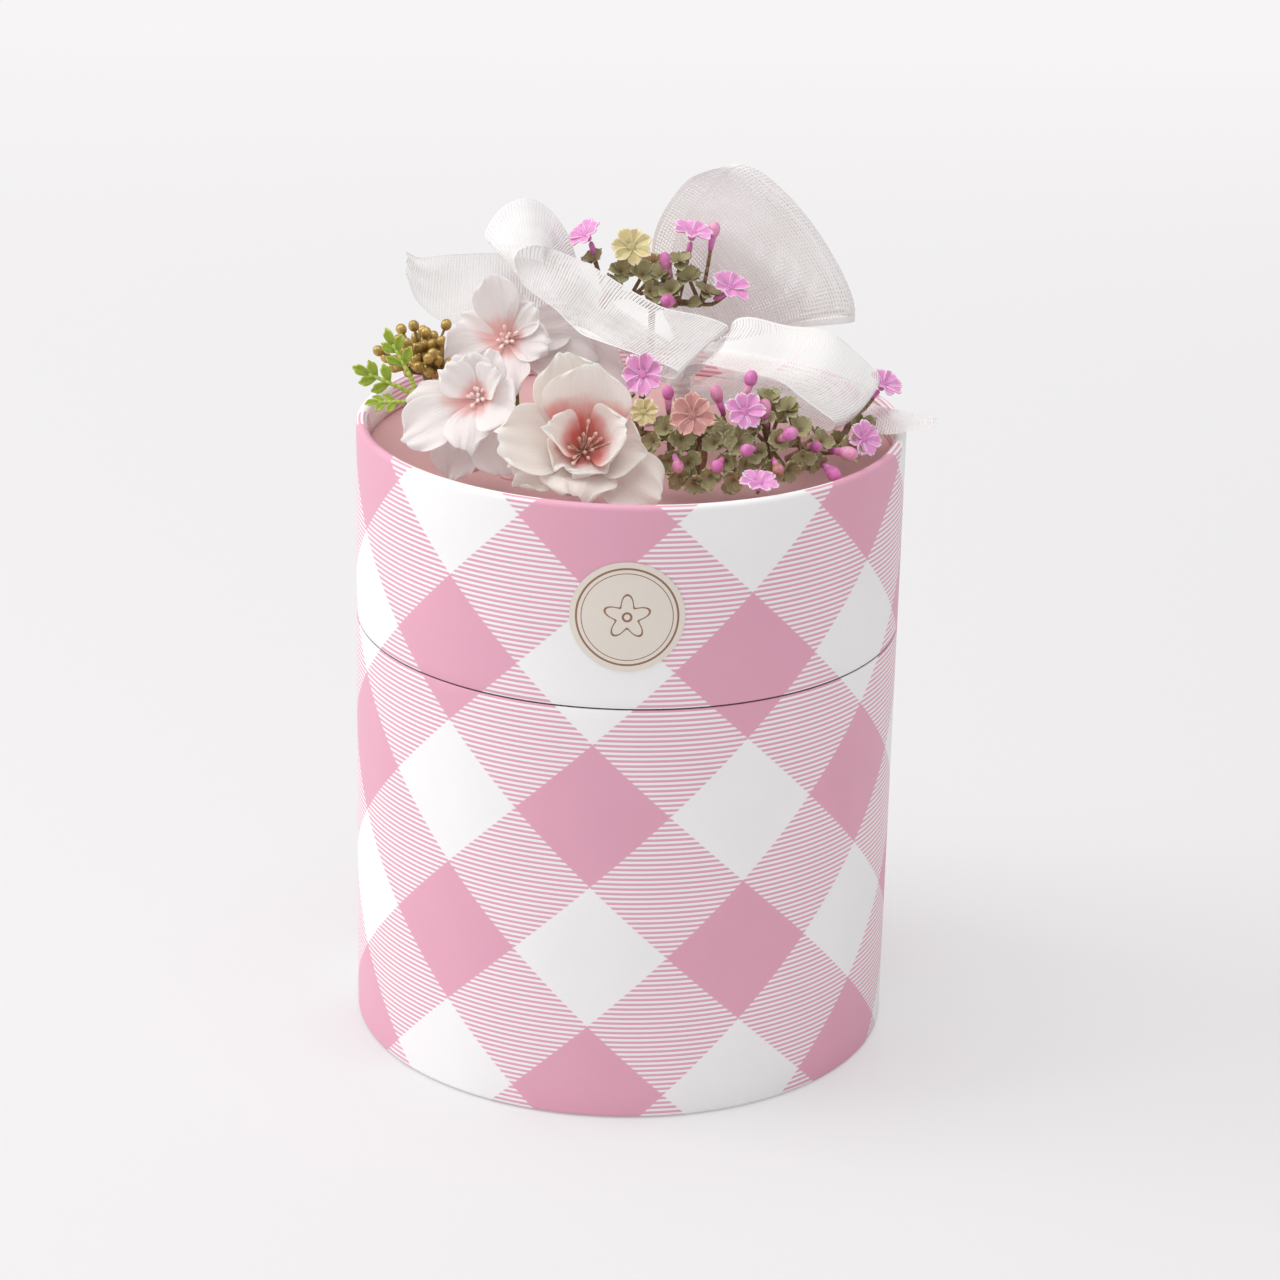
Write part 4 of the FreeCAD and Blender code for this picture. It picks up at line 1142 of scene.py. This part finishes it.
# wound tie on its post
def makeTie(spec):
    x, y = spec["place"]
    low, high, post = spec["low"], spec["high"], spec["post"] * mm
    profile = []
    for k in range(spec["rings"] + 1):
        share = k / spec["rings"]
        barrel = spec["radius"] * (1 - spec["waist"] * (2 * share - 1) ** 4)
        wound = spec["turnDepth"] * math.sin(share * 2 * math.pi * spec["turns"])
        profile.append(overRim(x + barrel + wound, y, low + (high - low) * share))
    bm = bmesh.new()
    spinProfile(bm, profile, overRim(x, y, 0), spec["sides"])
    middle = overRim(x, y, (low + high) / 2).z
    rims = [edge for edge in bm.edges if edge.is_boundary]
    bmesh.ops.contextual_create(bm, geom=[edge for edge in rims if edge.verts[0].co.z > middle])
    bmesh.ops.contextual_create(bm, geom=[edge for edge in rims if edge.verts[0].co.z < middle])
    bmesh.ops.recalc_face_normals(bm, faces=bm.faces)
    addTaper(bm, overRim(x, y, footDrop), overRim(x, y, low + spec["postGrip"]), post, post, 9)
    finishPiece("tied_knot", bm, ["ribbonCord"], ["bow_tie"])


makeTie(tieSpec)
for name, spec in bow.items():
    makeRibbon(name, spec, ribbonSpec)
print("bow made")


# dabs of glue under the stems

dabSpec = {"radius": 5.0, "flat": 0.4, "seat": -8.5}


def makeDabs(spec):
    feet = [stem["foot"] for stem in (*blossoms.values(), *sprigs.values(), berrySpec, fernSpec)]
    bm = bmesh.new()
    for x, y in feet + [tieSpec["place"]]:
        seat = overRim(x, y, spec["seat"])
        made = bmesh.ops.create_uvsphere(
            bm, u_segments=24, v_segments=16, radius=spec["radius"] * mm,
            matrix=Matrix.Translation(seat) @ Matrix.Diagonal((1, 1, spec["flat"], 1)))
        for v in made["verts"]:
            v.co.z = max(v.co.z, seat.z)
    finishPiece("melted_glue", bm, ["glueMelt"], ["glue_dabs"])


makeDabs(dabSpec)


# floor and studio light

stageSpec = {
    # near and far are the colours of the floor's painted glow, darker towards the front; the share of that
    # glow, which lightens the shadow near the box, runs over reach from 0.32 at the front to 0.95 at the back
    "size": 4.0, "paint": rgb(232, 231, 232), "near": rgb(234, 232, 233), "far": rgb(249, 247, 248),
    "reach": (-0.5, 1.3), "glowShare": (0.32, 0.95), "sky": rgb(252, 251, 251), "skyStrength": 0.62,
}
lampSpec = {
    "left": {"place": (-1.5, 0.0, 1.2), "size": 1.2, "power": 15.0},
    "top": {"place": (-0.2, -0.25, 1.9), "size": 1.4, "power": 13.0},
}
lampAim = Vector((0, 0, 0.12))


# matt paint that keeps the box's shadow, but to the camera alone is blended with a painted glow: about a
# third of it at the front edge lightens the shadow near the box, and at the back the glow takes nearly all of
# it and pales to plain white
def makeFloorPaint(spec):
    tree, shader = newMaterial("floorPaint", Base_Color=spec["paint"], Roughness=0.9, Specular_IOR_Level=0.1)
    first, last = spec["reach"]
    share = (parts(placeBy(tree, "Object"))[1] - first) / (last - first)
    glowShare = ramp(share, [(k, (part, part, part, 1.0)) for k, part in enumerate(spec["glowShare"])])
    # painted glow, darker towards the front, seen by the camera over the floor and its shadow
    paintedGlow = addNode(tree, "Emission", {"Color": ramp(share, [(0.0, spec["near"]), (1.0, spec["far"])])})[0]
    camera = Flow(tree, tree.nodes.new("ShaderNodeLightPath").outputs["Is Camera Ray"])
    mixShaders(tree, camera * glowShare, shader, paintedGlow)


def makeStage(spec):
    bm = bmesh.new()
    bmesh.ops.create_grid(bm, x_segments=1, y_segments=1, size=spec["size"])
    mesh = bpy.data.meshes.new("floor")
    bm.to_mesh(mesh)
    bm.free()
    floor = bpy.data.objects.new("floor", mesh)
    scene.collection.objects.link(floor)
    makeFloorPaint(spec)
    mesh.materials.append(skins["floorPaint"])
    world = bpy.data.worlds.new("studio")
    scene.world = world
    world.use_nodes = True
    sky = world.node_tree.nodes["Background"]
    sky.inputs["Color"].default_value = spec["sky"]
    sky.inputs["Strength"].default_value = spec["skyStrength"]


def makeLamps(spec):
    for name, lamp in spec.items():
        data = bpy.data.lights.new(name, "AREA")
        data.size = lamp["size"]
        data.energy = lamp["power"]
        light = bpy.data.objects.new(name, data)
        light.location = lamp["place"]
        light.rotation_euler = (lampAim - Vector(lamp["place"])).to_track_quat("-Z", "Y").to_euler()
        scene.collection.objects.link(light)


makeStage(stageSpec)
makeLamps(lampSpec)
scene.view_settings.view_transform = "Standard"
print("stage lit")
